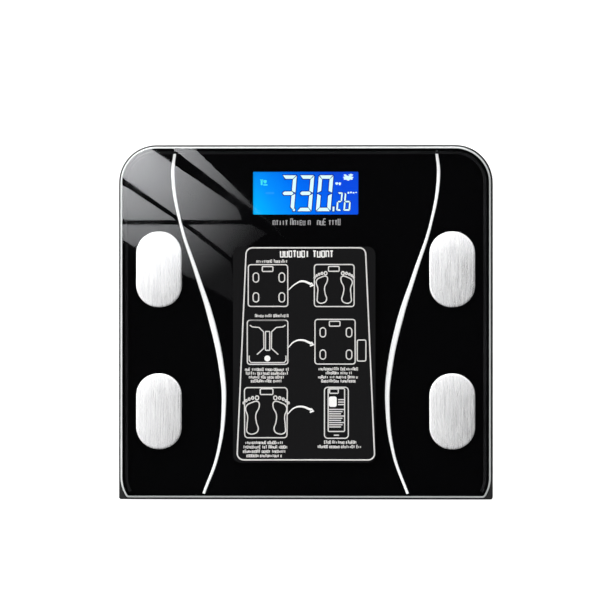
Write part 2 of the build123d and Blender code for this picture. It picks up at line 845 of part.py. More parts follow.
def make_electrode_leads():
    """One lead from each ring terminal to the board."""
    x0 = electrode_x - terminal_neck - barrel_l
    z = terminal_wire_z
    rear = [
        (x0, electrode_rear_y, z), (62, electrode_rear_y, z), (38, electrode_rear_y + 3, 18.4),
        (23, board_front - 6, 17.0), (19, board_front, 15.2), (19, board_front + 6, load_wire_z),
    ]
    front = [
        (x0, electrode_front_y, z), (74, electrode_front_y, z), (50, -40, 19.2), (45, -4, 18.8),
        (31, 28, 18.2), (13, board_front - 7, 17.0), (9, board_front, 15.2), (9, board_front + 6, load_wire_z),
    ]
    tubes = []
    for route in (rear, front):
        lead = wire(route)
        tubes += [lead, mirror(lead, about=Plane.YZ)]
    return group(tubes)


def make_battery_leads():
    """Two leads from the contact tails to the board."""
    tail = -(box_inner_l / 2 + box_wall + tail_l)
    z = load_wire_z
    tubes = []
    for s in (-1, 1):
        y = cell_lane(s)
        x = -35.5 + 1.25 * s
        land = -14.0 + 1.25 * s
        route = [
            (tail, y, z), (x, y, z), (x, 8, z), (land, 32, z), (land, board_front + 3.5, z),
        ]
        tubes.append(wire(route))
    return group(tubes)


# =============================================================== write it out
def build_nodes():
    nodes = {
        "base_tray": make_base_tray(),
        "glass_platform": make_glass(),
        "printed_film": make_film(),
        "glass_seal_tape": make_seal_tape(),
        "support_pads": make_support_pads(),
        "instruction_sticker": make_sticker(),
        "electrode_studs": make_studs(),
        "ring_terminals": group([make_terminal(corner) for corner in CORNERS]),
        "electrode_nuts": group([make_nut(corner) for corner in CORNERS]),
        "strain_gauges": make_strain_gauges(),
        "cell_screws": make_cell_screws(),
        "lcd_panel": make_lcd_panel(),
        "lcd_backlight": make_backlight(),
        "lcd_frame": make_lcd_frame(),
        "lcd_connectors": make_lcd_connectors(),
        "main_board": make_main_board(),
        "board_screws": make_board_screws(),
        "controller_blob": make_controller_blob(),
        "board_components": make_board_components(),
        "unit_button": make_unit_button(),
        "switch_housing": make_switch_housing(),
        "switch_plunger": make_switch_plunger(),
        "battery_rear": make_battery(1),
        "battery_front": make_battery(-1),
        "battery_springs": group([make_spring(1), make_spring(-1)]),
        "battery_contacts": make_battery_contacts(),
        "battery_door": make_battery_door(),
        "electrode_leads": make_electrode_leads(),
        "battery_leads": make_battery_leads(),
    }
    for corner in CORNERS:
        nodes["electrode_" + corner] = make_electrode(corner)
        nodes["load_cell_" + corner] = make_load_cell(corner)
        nodes["cell_holder_" + corner] = make_cell_holder(corner)
        nodes["foot_" + corner] = make_foot(corner)
        nodes["foot_pad_" + corner] = make_foot_pad(corner)
        nodes["load_cell_leads_" + corner] = make_load_cell_leads(corner)
    return nodes


os.makedirs("parts", exist_ok=True)
for name, shape in build_nodes().items():
    export_step(shape, "parts/" + name + ".step")
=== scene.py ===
# %% [markdown]
# # A glass bathroom scale, piece by piece
# The scale is a black-printed glass platform on a low moulded tray. Four brushed-steel
# electrodes stand on the glass, a lit blue display shows through a window in the print, and
# a card of line drawings is stuck to the middle. The CAD model already holds the size and
# place of every part, so this lesson only adds what the eye sees: shaped skins where the CAD
# is plain, the printed artwork, the finishes, and a soft white studio.

# %% Load the frame
import bpy
import bmesh
import math
import random
from mathutils import Matrix, Vector


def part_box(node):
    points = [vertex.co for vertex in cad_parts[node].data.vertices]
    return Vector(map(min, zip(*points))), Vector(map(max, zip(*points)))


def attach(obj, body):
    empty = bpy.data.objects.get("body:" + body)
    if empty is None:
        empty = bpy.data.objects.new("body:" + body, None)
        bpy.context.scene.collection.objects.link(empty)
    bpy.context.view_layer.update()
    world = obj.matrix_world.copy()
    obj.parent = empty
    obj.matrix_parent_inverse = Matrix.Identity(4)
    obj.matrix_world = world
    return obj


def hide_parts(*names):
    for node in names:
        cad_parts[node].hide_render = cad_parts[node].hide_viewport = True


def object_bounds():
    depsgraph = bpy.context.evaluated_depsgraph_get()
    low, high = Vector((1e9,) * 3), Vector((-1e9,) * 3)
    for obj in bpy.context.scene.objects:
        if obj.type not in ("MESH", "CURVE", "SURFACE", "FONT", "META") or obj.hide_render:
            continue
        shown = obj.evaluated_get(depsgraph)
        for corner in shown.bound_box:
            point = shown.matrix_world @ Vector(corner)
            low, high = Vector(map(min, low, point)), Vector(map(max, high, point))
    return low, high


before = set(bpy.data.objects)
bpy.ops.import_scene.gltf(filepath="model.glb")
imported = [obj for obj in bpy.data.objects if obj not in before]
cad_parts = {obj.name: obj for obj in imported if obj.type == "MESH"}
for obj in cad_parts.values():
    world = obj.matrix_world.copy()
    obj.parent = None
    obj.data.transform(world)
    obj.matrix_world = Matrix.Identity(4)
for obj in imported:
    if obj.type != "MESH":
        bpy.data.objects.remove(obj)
cad_box = [list(corner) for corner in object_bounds()]
print("CAD box", cad_box)

# %% [markdown]
# Every place below comes from the frame. The glass gives the top surface, the film under it
# gives the print level, and the sticker, the display panel and the electrodes give their own
# boxes. One millimetre is named once, because the artwork is easier to read in millimetres.

# %% Levels and places from the frame
MM = 0.001
CORNERS = ("front_left", "front_right", "rear_left", "rear_right")
glass_lo, glass_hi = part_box("glass_platform")
print_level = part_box("printed_film")[1][2]
sticker_lo, sticker_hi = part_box("instruction_sticker")
panel_lo, panel_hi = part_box("lcd_panel")
glass_top = glass_hi[2]
sticker_top = sticker_hi[2]
display_mid = (panel_lo + panel_hi) / 2
print("glass top", round(glass_top, 4), "print", round(print_level, 4))

# %% [markdown]
# ## Small helpers
# Colours are given as the usual 0 to 255 values and turned into the linear values that
# Blender works in. A mesh made with bmesh is wrapped in an object that stays at the origin,
# with its place in its vertices, just as the CAD nodes are.

# %% Colour and mesh helpers
def linear(value):
    """One 0-255 screen value as a linear one."""
    c = value / 255
    return c / 12.92 if c <= 0.04045 else ((c + 0.055) / 1.055) ** 2.4


def shade(r, g, b):
    """Three screen values as a linear colour."""
    return (linear(r), linear(g), linear(b), 1.0)


def keep(name, bm, finish, body="root", smooth_angle=None):
    """Turn a bmesh into an object that rides on a body; edges sharper than smooth_angle stay crisp."""
    if smooth_angle is not None:
        for edge in bm.edges:
            if len(edge.link_faces) == 2 and edge.calc_face_angle() > math.radians(smooth_angle):
                edge.smooth = False
        for face in bm.faces:
            face.smooth = True
    mesh = bpy.data.meshes.new(name)
    bm.to_mesh(mesh)
    bm.free()
    piece = bpy.data.objects.new(name, mesh)
    bpy.context.scene.collection.objects.link(piece)
    for material in finish if isinstance(finish, (list, tuple)) else [finish]:
        mesh.materials.append(material)
    if body:
        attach(piece, body)
    return piece


# %% [markdown]
# A finish is a Principled shader with a few procedural layers in front of it. These helpers
# keep the layers short to write: a noise that reads Object coordinates in metres, a range to
# squeeze it into useful values, one step of arithmetic, a blend of two colours, and a bump
# that turns a pattern into relief.

# %% Node helpers
def new_finish(name, colour, roughness, metallic=0.0):
    """A material with a Principled shader set to plain values."""
    material = bpy.data.materials.new(name)
    material.use_nodes = True
    tree = material.node_tree
    shader = tree.nodes["Principled BSDF"]
    shader.inputs["Base Color"].default_value = colour
    shader.inputs["Roughness"].default_value = roughness
    shader.inputs["Metallic"].default_value = metallic
    return material, tree, shader


def grain(tree, size, stretch=(1, 1, 1), detail=3.0, rough=0.5):
    """Noise whose grains are about size metres across, stretched along an axis."""
    where = tree.nodes.new("ShaderNodeTexCoord")
    turn = tree.nodes.new("ShaderNodeMapping")
    turn.inputs["Scale"].default_value = [1 / s for s in stretch]
    noise = tree.nodes.new("ShaderNodeTexNoise")
    noise.inputs["Scale"].default_value = 1 / size
    noise.inputs["Detail"].default_value = detail
    noise.inputs["Roughness"].default_value = rough
    tree.links.new(where.outputs["Object"], turn.inputs["Vector"])
    tree.links.new(turn.outputs["Vector"], noise.inputs["Vector"])
    return noise.outputs["Fac"]


def spread(tree, value, low, high, from_low=0.3, from_high=0.7):
    """Stretch the useful part of a noise to run from low to high."""
    node = tree.nodes.new("ShaderNodeMapRange")
    node.inputs["From Min"].default_value = from_low
    node.inputs["From Max"].default_value = from_high
    node.inputs["To Min"].default_value = low
    node.inputs["To Max"].default_value = high
    tree.links.new(value, node.inputs["Value"])
    return node.outputs["Result"]


def arithmetic(tree, operation, *values):
    """A Math node; each value is a number or a socket."""
    node = tree.nodes.new("ShaderNodeMath")
    node.operation = operation
    for socket, value in zip(node.inputs, values):
        if isinstance(value, (int, float)):
            socket.default_value = value
        else:
            tree.links.new(value, socket)
    return node.outputs["Value"]


def blend_colours(tree, factor, first, second):
    """The first colour where the factor is 0 and the second where it is 1."""
    node = tree.nodes.new("ShaderNodeMix")
    node.data_type = "RGBA"
    tree.links.new(factor, node.inputs["Factor"])
    node.inputs[6].default_value = first
    node.inputs[7].default_value = second
    return node.outputs[2]


def two_tone(tree, shader, pattern, first, second):
    """A base colour that wanders between two colours."""
    tint = blend_colours(tree, spread(tree, pattern, 0, 1), first, second)
    tree.links.new(tint, shader.inputs["Base Color"])


def gloss(tree, shader, pattern, low, high):
    """A roughness that wanders between two values."""
    tree.links.new(spread(tree, pattern, low, high), shader.inputs["Roughness"])


def relief(tree, shader, height, depth, strength=1.0, before=None):
    """Bump of depth metres from a 0-1 height."""
    node = tree.nodes.new("ShaderNodeBump")
    node.inputs["Strength"].default_value = strength
    node.inputs["Distance"].default_value = depth
    tree.links.new(height, node.inputs["Height"])
    if before is not None:
        tree.links.new(before, node.inputs["Normal"])
    tree.links.new(node.outputs["Normal"], shader.inputs["Normal"])
    return node.outputs["Normal"]


# %% [markdown]
# ## Moulded plastics and rubbers
# The tray, the door, the feet and the button are injection moulded. A real moulding is never
# quite even: its spark-eroded tool leaves a fine grain, and handling polishes it in patches.
# One function gives each of them its own colour, grain size and gloss, which is simpler than
# a separate network for each part.

# %% Moulded finishes
def moulded(name, colour, worn, roughness, grain_size, depth, shine=0.5):
    """Fine tool grain, patches of handling gloss and a faint change of colour."""
    material, tree, shader = new_finish(name, colour, roughness)
    shader.inputs["Specular IOR Level"].default_value = shine
    patches = grain(tree, 0.018, detail=4.0)
    two_tone(tree, shader, patches, colour, worn)
    gloss(tree, shader, patches, roughness + 0.08, roughness - 0.08)
    relief(tree, shader, grain(tree, grain_size, detail=2.0), depth)
    return material


tray_black = moulded("tray_black", shade(9, 9, 10), shade(14, 14, 16), 0.36, 0.0005, 0.00003, shine=0.3)
door_black = moulded("door_black", shade(17, 17, 18), shade(25, 25, 27), 0.46, 0.0004, 0.00004)
foot_black = moulded("foot_black", shade(22, 22, 24), shade(30, 30, 32), 0.38, 0.0007, 0.00003)
pad_rubber = moulded("pad_rubber", shade(58, 58, 60), shade(74, 73, 71), 0.78, 0.0009, 0.00008)
foam_grey = moulded("foam_grey", shade(50, 50, 52), shade(66, 66, 66), 0.9, 0.0006, 0.00012)
button_grey = moulded("button_grey", shade(168, 170, 172), shade(186, 187, 188), 0.4, 0.0004, 0.00002)
nylon_white = moulded("nylon_white", shade(196, 194, 186), shade(210, 208, 200), 0.5, 0.0008, 0.00003)
bezel_black = moulded("bezel_black", shade(18, 18, 20), shade(26, 26, 28), 0.5, 0.0005, 0.00003)
switch_black = moulded("switch_black", shade(24, 24, 26), shade(34, 34, 36), 0.45, 0.0004, 0.00002)
zebra_rose = moulded("zebra_rose", shade(184, 140, 138), shade(120, 96, 96), 0.7, 0.0006, 0.00004)
print("moulded finishes ready")

# %% [markdown]
# ## Metals
# The electrodes are brushed along their length, so their noise is stretched many times along
# Y: long streaks in the colour, the roughness and the bump. Anisotropy does the rest, since
# brushed steel spreads a highlight across its lines, and the tangent says that across is X.
# Plated screws and terminals only need fine scratches in every direction.

# %% Metal finishes
def brushed_steel(name, bright, dull, roughness):
    """Steel with long streaks along Y."""
    material, tree, shader = new_finish(name, bright, roughness, metallic=1.0)
    fine = grain(tree, 0.00035, stretch=(1, 70, 1), detail=3.0, rough=0.6)
    broad = grain(tree, 0.0009, stretch=(1, 22, 1), detail=3.0, rough=0.6)
    two_tone(tree, shader, broad, bright, dull)
    gloss(tree, shader, fine, roughness - 0.07, roughness + 0.09)
    first = relief(tree, shader, broad, 0.00002, 0.6)
    relief(tree, shader, fine, 0.000012, 0.9, before=first)
    across = tree.nodes.new("ShaderNodeCombineXYZ")
    across.inputs["X"].default_value = 1.0
    tree.links.new(across.outputs["Vector"], shader.inputs["Tangent"])
    shader.inputs["Anisotropic"].default_value = 0.75
    return material


def plated(name, colour, roughness):
    """Nickel or tin plate with small scuffs."""
    material, tree, shader = new_finish(name, colour, roughness, metallic=1.0)
    scuffs = grain(tree, 0.0009, detail=5.0, rough=0.7)
    gloss(tree, shader, scuffs, roughness - 0.06, roughness + 0.12)
    relief(tree, shader, scuffs, 0.00001, 0.5)
    return material


electrode_steel = brushed_steel("electrode_steel", shade(242, 242, 242), shade(222, 222, 224), 0.27)
cell_steel = brushed_steel("cell_steel", shade(176, 177, 178), shade(150, 151, 153), 0.42)
nickel = plated("nickel", shade(206, 204, 196), 0.26)
spring_steel = plated("spring_steel", shade(196, 197, 198), 0.22)
print("metal finishes ready")

# %% [markdown]
# ## Glass, print and inks
# Clear tempered glass lies over a black screen print. A path tracer sends light through
# glass only where the rays bend by chance, which would leave the print underneath in the
# dark. So only the camera sees the full glass, and the light that travels to the print passes
# a clear stand-in. The ground edge of the plate is another finish: grinding leaves it pale and
# satin, and it is what draws the light line round the platform.

# %% Glass finishes
def clear_glass():
    """Clear tempered glass with faint smears; only the camera meets its full refraction."""
    material, tree, shader = new_finish("clear_glass", (0.985, 0.997, 0.992, 1.0), 0.015)
    shader.inputs["Transmission Weight"].default_value = 1.0
    shader.inputs["IOR"].default_value = 1.5
    gloss(tree, shader, grain(tree, 0.03, detail=5.0, rough=0.65), 0.0, 0.03)
    through = tree.nodes.new("ShaderNodeBsdfTransparent")
    through.inputs["Color"].default_value = (0.985, 0.997, 0.992, 1.0)
    path = tree.nodes.new("ShaderNodeLightPath")
    choose = tree.nodes.new("ShaderNodeMixShader")
    tree.links.new(path.outputs["Is Camera Ray"], choose.inputs["Fac"])
    tree.links.new(through.outputs["BSDF"], choose.inputs[1])
    tree.links.new(shader.outputs["BSDF"], choose.inputs[2])
    tree.links.new(choose.outputs["Shader"], tree.nodes["Material Output"].inputs["Surface"])
    return material


def ground_edge():
    """Satin ground glass: pale grey, with the fine lines of the grinding belt."""
    material, tree, shader = new_finish("ground_edge", shade(182, 186, 185), 0.32)
    lines = grain(tree, 0.0006, stretch=(1, 1, 0.2), detail=3.0)
    two_tone(tree, shader, lines, shade(172, 176, 175), shade(194, 197, 196))
    gloss(tree, shader, lines, 0.26, 0.4)
    relief(tree, shader, lines, 0.00001, 0.4)
    return material


glass_clear = clear_glass()
glass_ground = ground_edge()

# %% [markdown]
# The print is a flat, deep black with a slight orange peel. Inks are given a faint mottle,
# as screen-printed ink has where the mesh lifted. The sticker is a separate dark film: it is
# a little lighter than the glass, and matt enough to lose its reflections.

# %% Print and ink finishes
def ink(name, colour, thin, roughness=0.45, shine=0.0, glow=0.0):
    """Screen-printed ink with a mottle from the mesh; under glass it has no shine of its own."""
    material, tree, shader = new_finish(name, colour, roughness)
    shader.inputs["Specular IOR Level"].default_value = shine
    shader.inputs["Emission Color"].default_value = colour
    shader.inputs["Emission Strength"].default_value = glow
    mottle = grain(tree, 0.0007, detail=4.0, rough=0.6)
    two_tone(tree, shader, mottle, colour, thin)
    gloss(tree, shader, mottle, roughness - 0.06, roughness + 0.08)
    relief(tree, shader, mottle, 0.000006, 0.4)
    return material


print_black = ink("print_black", shade(4, 4, 5), shade(5, 5, 6), 0.3)
# The white curves are ink with a faint painted glow, a light that no lamp gives, so that the ink under
# the glass stays as white as the print.
curve_white_painted_glow = ink("curve_white_painted_glow", shade(252, 252, 252), shade(246, 246, 247), 0.4, glow=0.06)
edge_grey = ink("edge_grey", shade(33, 33, 34), shade(28, 28, 30), 0.4)
caption_grey = ink("caption_grey", shade(176, 174, 176), shade(158, 156, 158), 0.45)
card_film = ink("card_film", shade(20, 20, 21), shade(17, 17, 18), 0.5, shine=0.04)
card_line = ink("card_line", shade(222, 220, 218), shade(206, 204, 202), 0.5, shine=0.04)
card_bold = ink("card_bold", shade(246, 245, 243), shade(232, 231, 229), 0.5, shine=0.04)
print("print finishes ready")

# %% [markdown]
# ## The display
# The panel is a backlit negative display: pale segments on a blue ground. The lamp sits at
# the lower left, so the blue runs from cyan there to a deep blue at the right. A ramp on
# Object coordinates gives that run, and the panel also glows a little of its own.

# %% Display finishes
def display_blue():
    """A lit ground whose colour runs over the panel."""
    material, tree, shader = new_finish("display_blue", shade(0, 110, 245), 0.3)
    shader.inputs["Specular IOR Level"].default_value = 0.0
    where = tree.nodes.new("ShaderNodeTexCoord")
    centre = tree.nodes.new("ShaderNodeMapping")
    width = panel_hi[0] - panel_lo[0]
    depth = panel_hi[1] - panel_lo[1]
    shift = (0.5 - display_mid[0] / width, 0.5 - display_mid[1] / depth, 0)
    centre.inputs["Location"].default_value = shift
    centre.inputs["Scale"].default_value = (1 / width, 1 / depth, 1)
    split = tree.nodes.new("ShaderNodeSeparateXYZ")
    tree.links.new(where.outputs["Object"], centre.inputs["Vector"])
    tree.links.new(centre.outputs["Vector"], split.inputs["Vector"])
    run = arithmetic(tree, "MULTIPLY_ADD", split.outputs["Y"], 0.28, split.outputs["X"])
    ramp = tree.nodes.new("ShaderNodeValToRGB")
    ramp.color_ramp.elements[0].position = 0.05
    ramp.color_ramp.elements[0].color = shade(0, 186, 255)
    ramp.color_ramp.elements[1].position = 1.0
    ramp.color_ramp.elements[1].color = shade(14, 72, 222)
    for place, colour in ((0.3, shade(6, 146, 252)), (0.6, shade(0, 108, 244))):
        ramp.color_ramp.elements.new(place).color = colour
    tree.links.new(run, ramp.inputs["Fac"])
    tree.links.new(ramp.outputs["Color"], shader.inputs["Base Color"])
    shader.inputs["Emission Color"].default_value = shade(0, 100, 230)
    shader.inputs["Emission Strength"].default_value = 0.06
    relief(tree, shader, grain(tree, 0.0005, detail=1.0), 0.000004, 0.3)
    return material


display_ground = display_blue()
segment_white = ink("segment_white", shade(226, 249, 255), shade(208, 243, 255), 0.4, glow=0.1)
segment_shadow = ink("segment_shadow", shade(6, 46, 150), shade(4, 40, 136), 0.5)
segment_cyan = ink("segment_cyan", shade(70, 222, 232), shade(58, 208, 226), 0.4, glow=0.2)
segment_faint = ink("segment_faint", shade(34, 150, 252), shade(30, 144, 250), 0.4, glow=0.1)
print("display finishes ready")

# %% [markdown]
# ## Parts inside the tray
# The board, its chips, the cells and the leads are out of sight until the tray is opened, but
# each still gets the finish of the real part, so that a cut-away view reads correctly.

# %% Electronics finishes
def solder_mask():
    """Green mask with lighter tracks showing through it."""
    material, tree, shader = new_finish("solder_mask", shade(16, 92, 48), 0.35)
    where = tree.nodes.new("ShaderNodeTexCoord")
    tracks = tree.nodes.new("ShaderNodeTexBrick")
    tracks.inputs["Scale"].default_value = 90
    tracks.inputs["Mortar Size"].default_value = 0.035
    tracks.inputs["Color1"].default_value = shade(16, 92, 48)
    tracks.inputs["Color2"].default_value = shade(13, 82, 42)
    tracks.inputs["Mortar"].default_value = shade(48, 140, 84)
    tree.links.new(where.outputs["Object"], tracks.inputs["Vector"])
    tree.links.new(tracks.outputs["Color"], shader.inputs["Base Color"])
    gloss(tree, shader, grain(tree, 0.004), 0.28, 0.42)
    relief(tree, shader, tracks.outputs["Fac"], 0.00003, 0.4)
    return material


board_green = solder_mask()
epoxy_black = moulded("epoxy_black", shade(10, 10, 11), shade(16, 16, 17), 0.2, 0.003, 0.00005)
component_body = moulded("component_body", shade(60, 62, 70), shade(84, 86, 94), 0.35, 0.0006, 0.00002)
guide_acrylic = moulded("guide_acrylic", shade(222, 232, 238), shade(232, 240, 244), 0.25, 0.001, 0.00003)
gauge_amber = moulded("gauge_amber", shade(196, 116, 34), shade(216, 140, 58), 0.3, 0.0004, 0.00002)
jacket_blue = moulded("jacket_blue", shade(38, 84, 160), shade(52, 98, 172), 0.25, 0.002, 0.00001)
lead_red = moulded("lead_red", shade(170, 28, 26), shade(186, 42, 38), 0.45, 0.0005, 0.00001)
lead_white = moulded("lead_white", shade(214, 213, 208), shade(224, 223, 219), 0.45, 0.0005, 0.00001)
lead_black = moulded("lead_black", shade(20, 20, 21), shade(30, 30, 31), 0.45, 0.0005, 0.00001)
print("electronics finishes ready")

# %% [markdown]
# Each CAD node that keeps its own shape is simply given its finish. The table reads like a
# parts list. Names that end in a corner are filled in for all four corners.

# %% Dress the CAD nodes
FINISHES = {
    "base_tray": tray_black, "printed_film": print_black, "glass_seal_tape": foam_grey,
    "support_pads": foam_grey, "instruction_sticker": card_film, "electrode_studs": nickel,
    "ring_terminals": nickel, "electrode_nuts": nickel, "strain_gauges": gauge_amber,
    "cell_screws": nickel, "lcd_panel": display_ground, "lcd_backlight": guide_acrylic,
    "lcd_frame": bezel_black, "lcd_connectors": zebra_rose, "main_board": board_green,
    "board_screws": nickel, "controller_blob": epoxy_black, "board_components": component_body,
    "unit_button": button_grey, "switch_housing": switch_black, "switch_plunger": switch_black,
    "battery_rear": jacket_blue, "battery_front": jacket_blue, "battery_springs": spring_steel,
    "battery_contacts": nickel, "battery_door": door_black, "electrode_leads": lead_white,
    "battery_leads": lead_black, "glass_platform": glass_clear,
}
for corner in CORNERS:
    FINISHES["electrode_" + corner] = electrode_steel
    FINISHES["load_cell_" + corner] = cell_steel
    FINISHES["cell_holder_" + corner] = nylon_white
    FINISHES["foot_" + corner] = foot_black
    FINISHES["foot_pad_" + corner] = pad_rubber
    FINISHES["load_cell_leads_" + corner] = lead_red
for node, finish in FINISHES.items():
    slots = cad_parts[node].data.materials
    slots.clear()
    slots.append(finish)
print(len(FINISHES), "CAD nodes dressed")

# %% [markdown]
# ## The glass plate
# The plate's outline has two large corners at the display end. At the front the same arcs are
# cut short by the straight edge. It starts as one rectangle that is longer than the plate, so
# that rounding its four corners and then cutting off the surplus gives those short arcs. Then
# it is thickened, and its rims are bevelled as the glass works bevels them. A hand-made mesh
# is used in place of the CAD plate because its bevel can be smooth and carry its own finish.
# The print is bonded to the glass with no air between them, so the plate reaches a hair into
# the film. The flat faces end in sharp edges, or else the smooth bevel would tilt their
# shading and bend every reflection.

# %% Glass plate
GLASS_CORNER = 25.0 * MM
FRONT_SURPLUS = 10.8 * MM
GLASS_TIP = 1.6 * MM
GROUND_BEVEL = 1.2 * MM
LOWER_BEVEL = 0.4 * MM
BOND = 0.05 * MM
TINY = 1e-7


def round_off(bm, geom, offset, segments, affect):
    """Round the given corners or edges."""
    bmesh.ops.bevel(
        bm, geom=geom, offset=offset, segments=segments, profile=0.5, affect=affect, material=-1,
    )


def thicken(bm, height):
    """Extrude every face upwards and close the solid."""
    grown = bmesh.ops.extrude_face_region(bm, geom=list(bm.faces))
    top = [item for item in grown["geom"] if isinstance(item, bmesh.types.BMVert)]
    bmesh.ops.translate(bm, vec=(0, 0, height), verts=top)
    bmesh.ops.recalc_face_normals(bm, faces=bm.faces)


def platform_outline():
    """A flat face with the outline of the platform."""
    bm = bmesh.new()
    bmesh.ops.create_grid(bm, x_segments=1, y_segments=1, size=0.5)
    length = glass_hi[1] - glass_lo[1] + FRONT_SURPLUS
    bmesh.ops.scale(bm, vec=(glass_hi[0] - glass_lo[0], length, 1), verts=bm.verts)
    bmesh.ops.translate(bm, vec=(0, glass_hi[1] - length / 2, glass_lo[2]), verts=bm.verts)
    round_off(bm, list(bm.verts), GLASS_CORNER, 18, "VERTICES")
    bmesh.ops.bisect_plane(
        bm, geom=list(bm.verts) + list(bm.edges) + list(bm.faces), dist=TINY,
        plane_co=glass_lo, plane_no=(0, -1, 0), clear_outer=True,
    )
    tips = [v for v in bm.verts if abs(v.co.y - glass_lo[1]) < 10 * TINY]
    round_off(bm, tips, GLASS_TIP, 6, "VERTICES")
    return bm


def glass_plate():
    """The plate with its bevels; flat faces take the clear finish and the edge the ground one."""
    bm = platform_outline()
    thicken(bm, glass_hi[2] - glass_lo[2])
    for level, width, steps in ((glass_hi[2], GROUND_BEVEL, 3), (glass_lo[2], LOWER_BEVEL, 2)):
        rim = [e for e in bm.edges if all(abs(v.co.z - level) < TINY for v in e.verts)]
        round_off(bm, rim, width, steps, "EDGES")
    for face in bm.faces:
        face.material_index = 0 if abs(face.normal.z) > 0.999 else 1
    for edge in bm.edges:
        edge.smooth = len({face.material_index for face in edge.link_faces}) == 1
    for v in bm.verts:
        if abs(v.co.z - glass_lo[2]) < TINY:
            v.co.z -= BOND
    return bm


plate = keep("glass_plate", glass_plate(), [glass_clear, glass_ground], smooth_angle=35)
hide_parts("glass_platform")
print("glass plate", len(plate.data.polygons), "faces")

# %% [markdown]
# ## Electrodes
# Each electrode is pressed from thin sheet. Pressing leaves its middle very slightly crowned
# and its rim rolled over. The crown matters: a dead flat plate reflects one spot of the room,
# while a crown spreads a whole run of light down its length. The plate starts as a rounded
# outline, its upper edge is rolled, and a few inset rings are lifted into a low dome.

# %% Electrode plates
PLATE_ROLL = 0.45 * MM
PLATE_END_FLAT = 0.6 * MM
PLATE_SKIRT = 0.2 * MM
CROWN = 0.5 * MM
CROWN_STEPS = (0.06, 0.12, 0.2, 0.3)
CROWN_ACROSS = 0.6


def electrode_plate(lo, hi):
    """Stadium plate with a rolled rim and a slight crown."""
    half_x, half_y = (hi[0] - lo[0]) / 2, (hi[1] - lo[1]) / 2
    mid = (lo + hi) / 2
    bm = bmesh.new()
    bmesh.ops.create_grid(bm, x_segments=1, y_segments=1, size=1.0)
    bmesh.ops.scale(bm, vec=(half_x, half_y, 1), verts=bm.verts)
    round_off(bm, list(bm.verts), half_x - PLATE_END_FLAT, 20, "VERTICES")
    bmesh.ops.translate(bm, vec=(0, 0, lo[2]), verts=bm.verts)
    thicken(bm, hi[2] - lo[2] - CROWN)
    lid = max(bm.faces, key=lambda f: f.calc_center_median().z)
    round_off(bm, list(lid.edges), PLATE_ROLL, 4, "EDGES")
    lid = max(bm.faces, key=lambda f: (round(f.calc_center_median().z, 6), f.calc_area()))
    for share in CROWN_STEPS:
        bmesh.ops.inset_region(
            bm, faces=[lid], thickness=share * half_x, depth=0.0, use_even_offset=True,
        )
    for v in bm.verts:
        if v.co.z > lo[2] + PLATE_SKIRT:
            dome = 1 - CROWN_ACROSS * (v.co.x / half_x) ** 2 - (v.co.y / half_y) ** 2
            v.co.z += CROWN * max(0.0, dome)
    bmesh.ops.translate(bm, vec=(mid[0], mid[1], 0), verts=bm.verts)
    return bm


for corner in CORNERS:
    lo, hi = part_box("electrode_" + corner)
    name = "electrode_plate_" + corner
    piece = keep(name, electrode_plate(lo, hi), electrode_steel, smooth_angle=50)
    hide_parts("electrode_" + corner)
    print(name, len(piece.data.polygons), "faces")

# %% [markdown]
# ## Drawing with ink
# All the artwork is line work of an even height, so one tool draws it: a curve with a round
# pen, turned into a mesh and pressed flat. A curve keeps its corners and its ends round, as
# screen printing does, and a radius on each point lets a line swell. Strokes are lists of
# points in millimetres. A stroke that is `smooth` runs through its points as one curve.

# %% The flat pen
INK_HEIGHT = 0.03 * MM


def pen(name, strokes, width, level, finish, steps=8, height=INK_HEIGHT):
    """Strokes as (points, closed, smooth); a point may carry its own width factor."""
    data = bpy.data.curves.new(name, "CURVE")
    data.dimensions = "3D"
    data.bevel_depth = width / 2 * MM
    data.bevel_resolution = 1
    data.resolution_u = steps
    data.use_fill_caps = True
    for points, closed, smooth in strokes:
        spline = data.splines.new("BEZIER" if smooth else "POLY")
        dots = spline.bezier_points if smooth else spline.points
        dots.add(len(points) - 1)
        for dot, point in zip(dots, points):
            place = (point[0] * MM, point[1] * MM, 0)
            dot.co = place if smooth else (*place, 1)
            dot.radius = point[2] if len(point) > 2 else 1.0
            if smooth:
                dot.handle_left_type = dot.handle_right_type = "AUTO"
        spline.use_cyclic_u = closed
    line = bpy.data.objects.new(name + "_line", data)
    mesh = bpy.data.meshes.new_from_object(line)
    bpy.data.objects.remove(line)
    tall = max(v.co.z for v in mesh.vertices)
    bm = bmesh.new()
    bm.from_mesh(mesh)
    bpy.data.meshes.remove(mesh)
    bmesh.ops.scale(bm, vec=(1, 1, height / 2 / tall), verts=bm.verts)
    bmesh.ops.translate(bm, vec=(0, 0, level + height / 2), verts=bm.verts)
    return keep(name, bm, finish)


def round_box(cx, cy, w, h, r, steps=4, taper=0.0):
    """Points round a rectangle with round corners; taper narrows its top."""
    points = []
    for k, (sx, sy) in enumerate(((1, 1), (-1, 1), (-1, -1), (1, -1))):
        for step in range(steps + 1):
            turn = math.pi / 2 * (k + step / steps)
            x = sx * (w / 2 - r) + r * math.cos(turn)
            y = sy * (h / 2 - r) + r * math.sin(turn)
            x *= 1 - taper * (y / h + 0.5)
            points.append((cx + x, cy + y))
    return points


# %% [markdown]
# ## The two white curves
# Two white lines sweep down the platform like the sides of a waist. They are thin at both
# ends and swell in the middle. Nine points describe one of them, and the other is its mirror
# image. They are printed under the glass, so they lie on the film.

# %% White curves
WAIST = (
    (-90.9, 118.9, 0.46), (-92.4, 103.0, 0.58), (-86.9, 68.0, 0.46), (-76.2, 34.8, 0.68),
    (-65.6, 1.6, 1.0), (-58.5, -31.8, 0.92), (-56.8, -56.0, 0.76), (-61.2, -92.0, 0.5),
    (-70.9, -119.2, 0.44),
)
WAIST_WIDTH = 4.1
waist_strokes = [([(side * x, y, w) for x, y, w in WAIST], False, True) for side in (1, -1)]
curves = pen("waist_curves", waist_strokes, WAIST_WIDTH, print_level, curve_white_painted_glow, steps=14)
print("curves", len(curves.data.polygons), "faces")

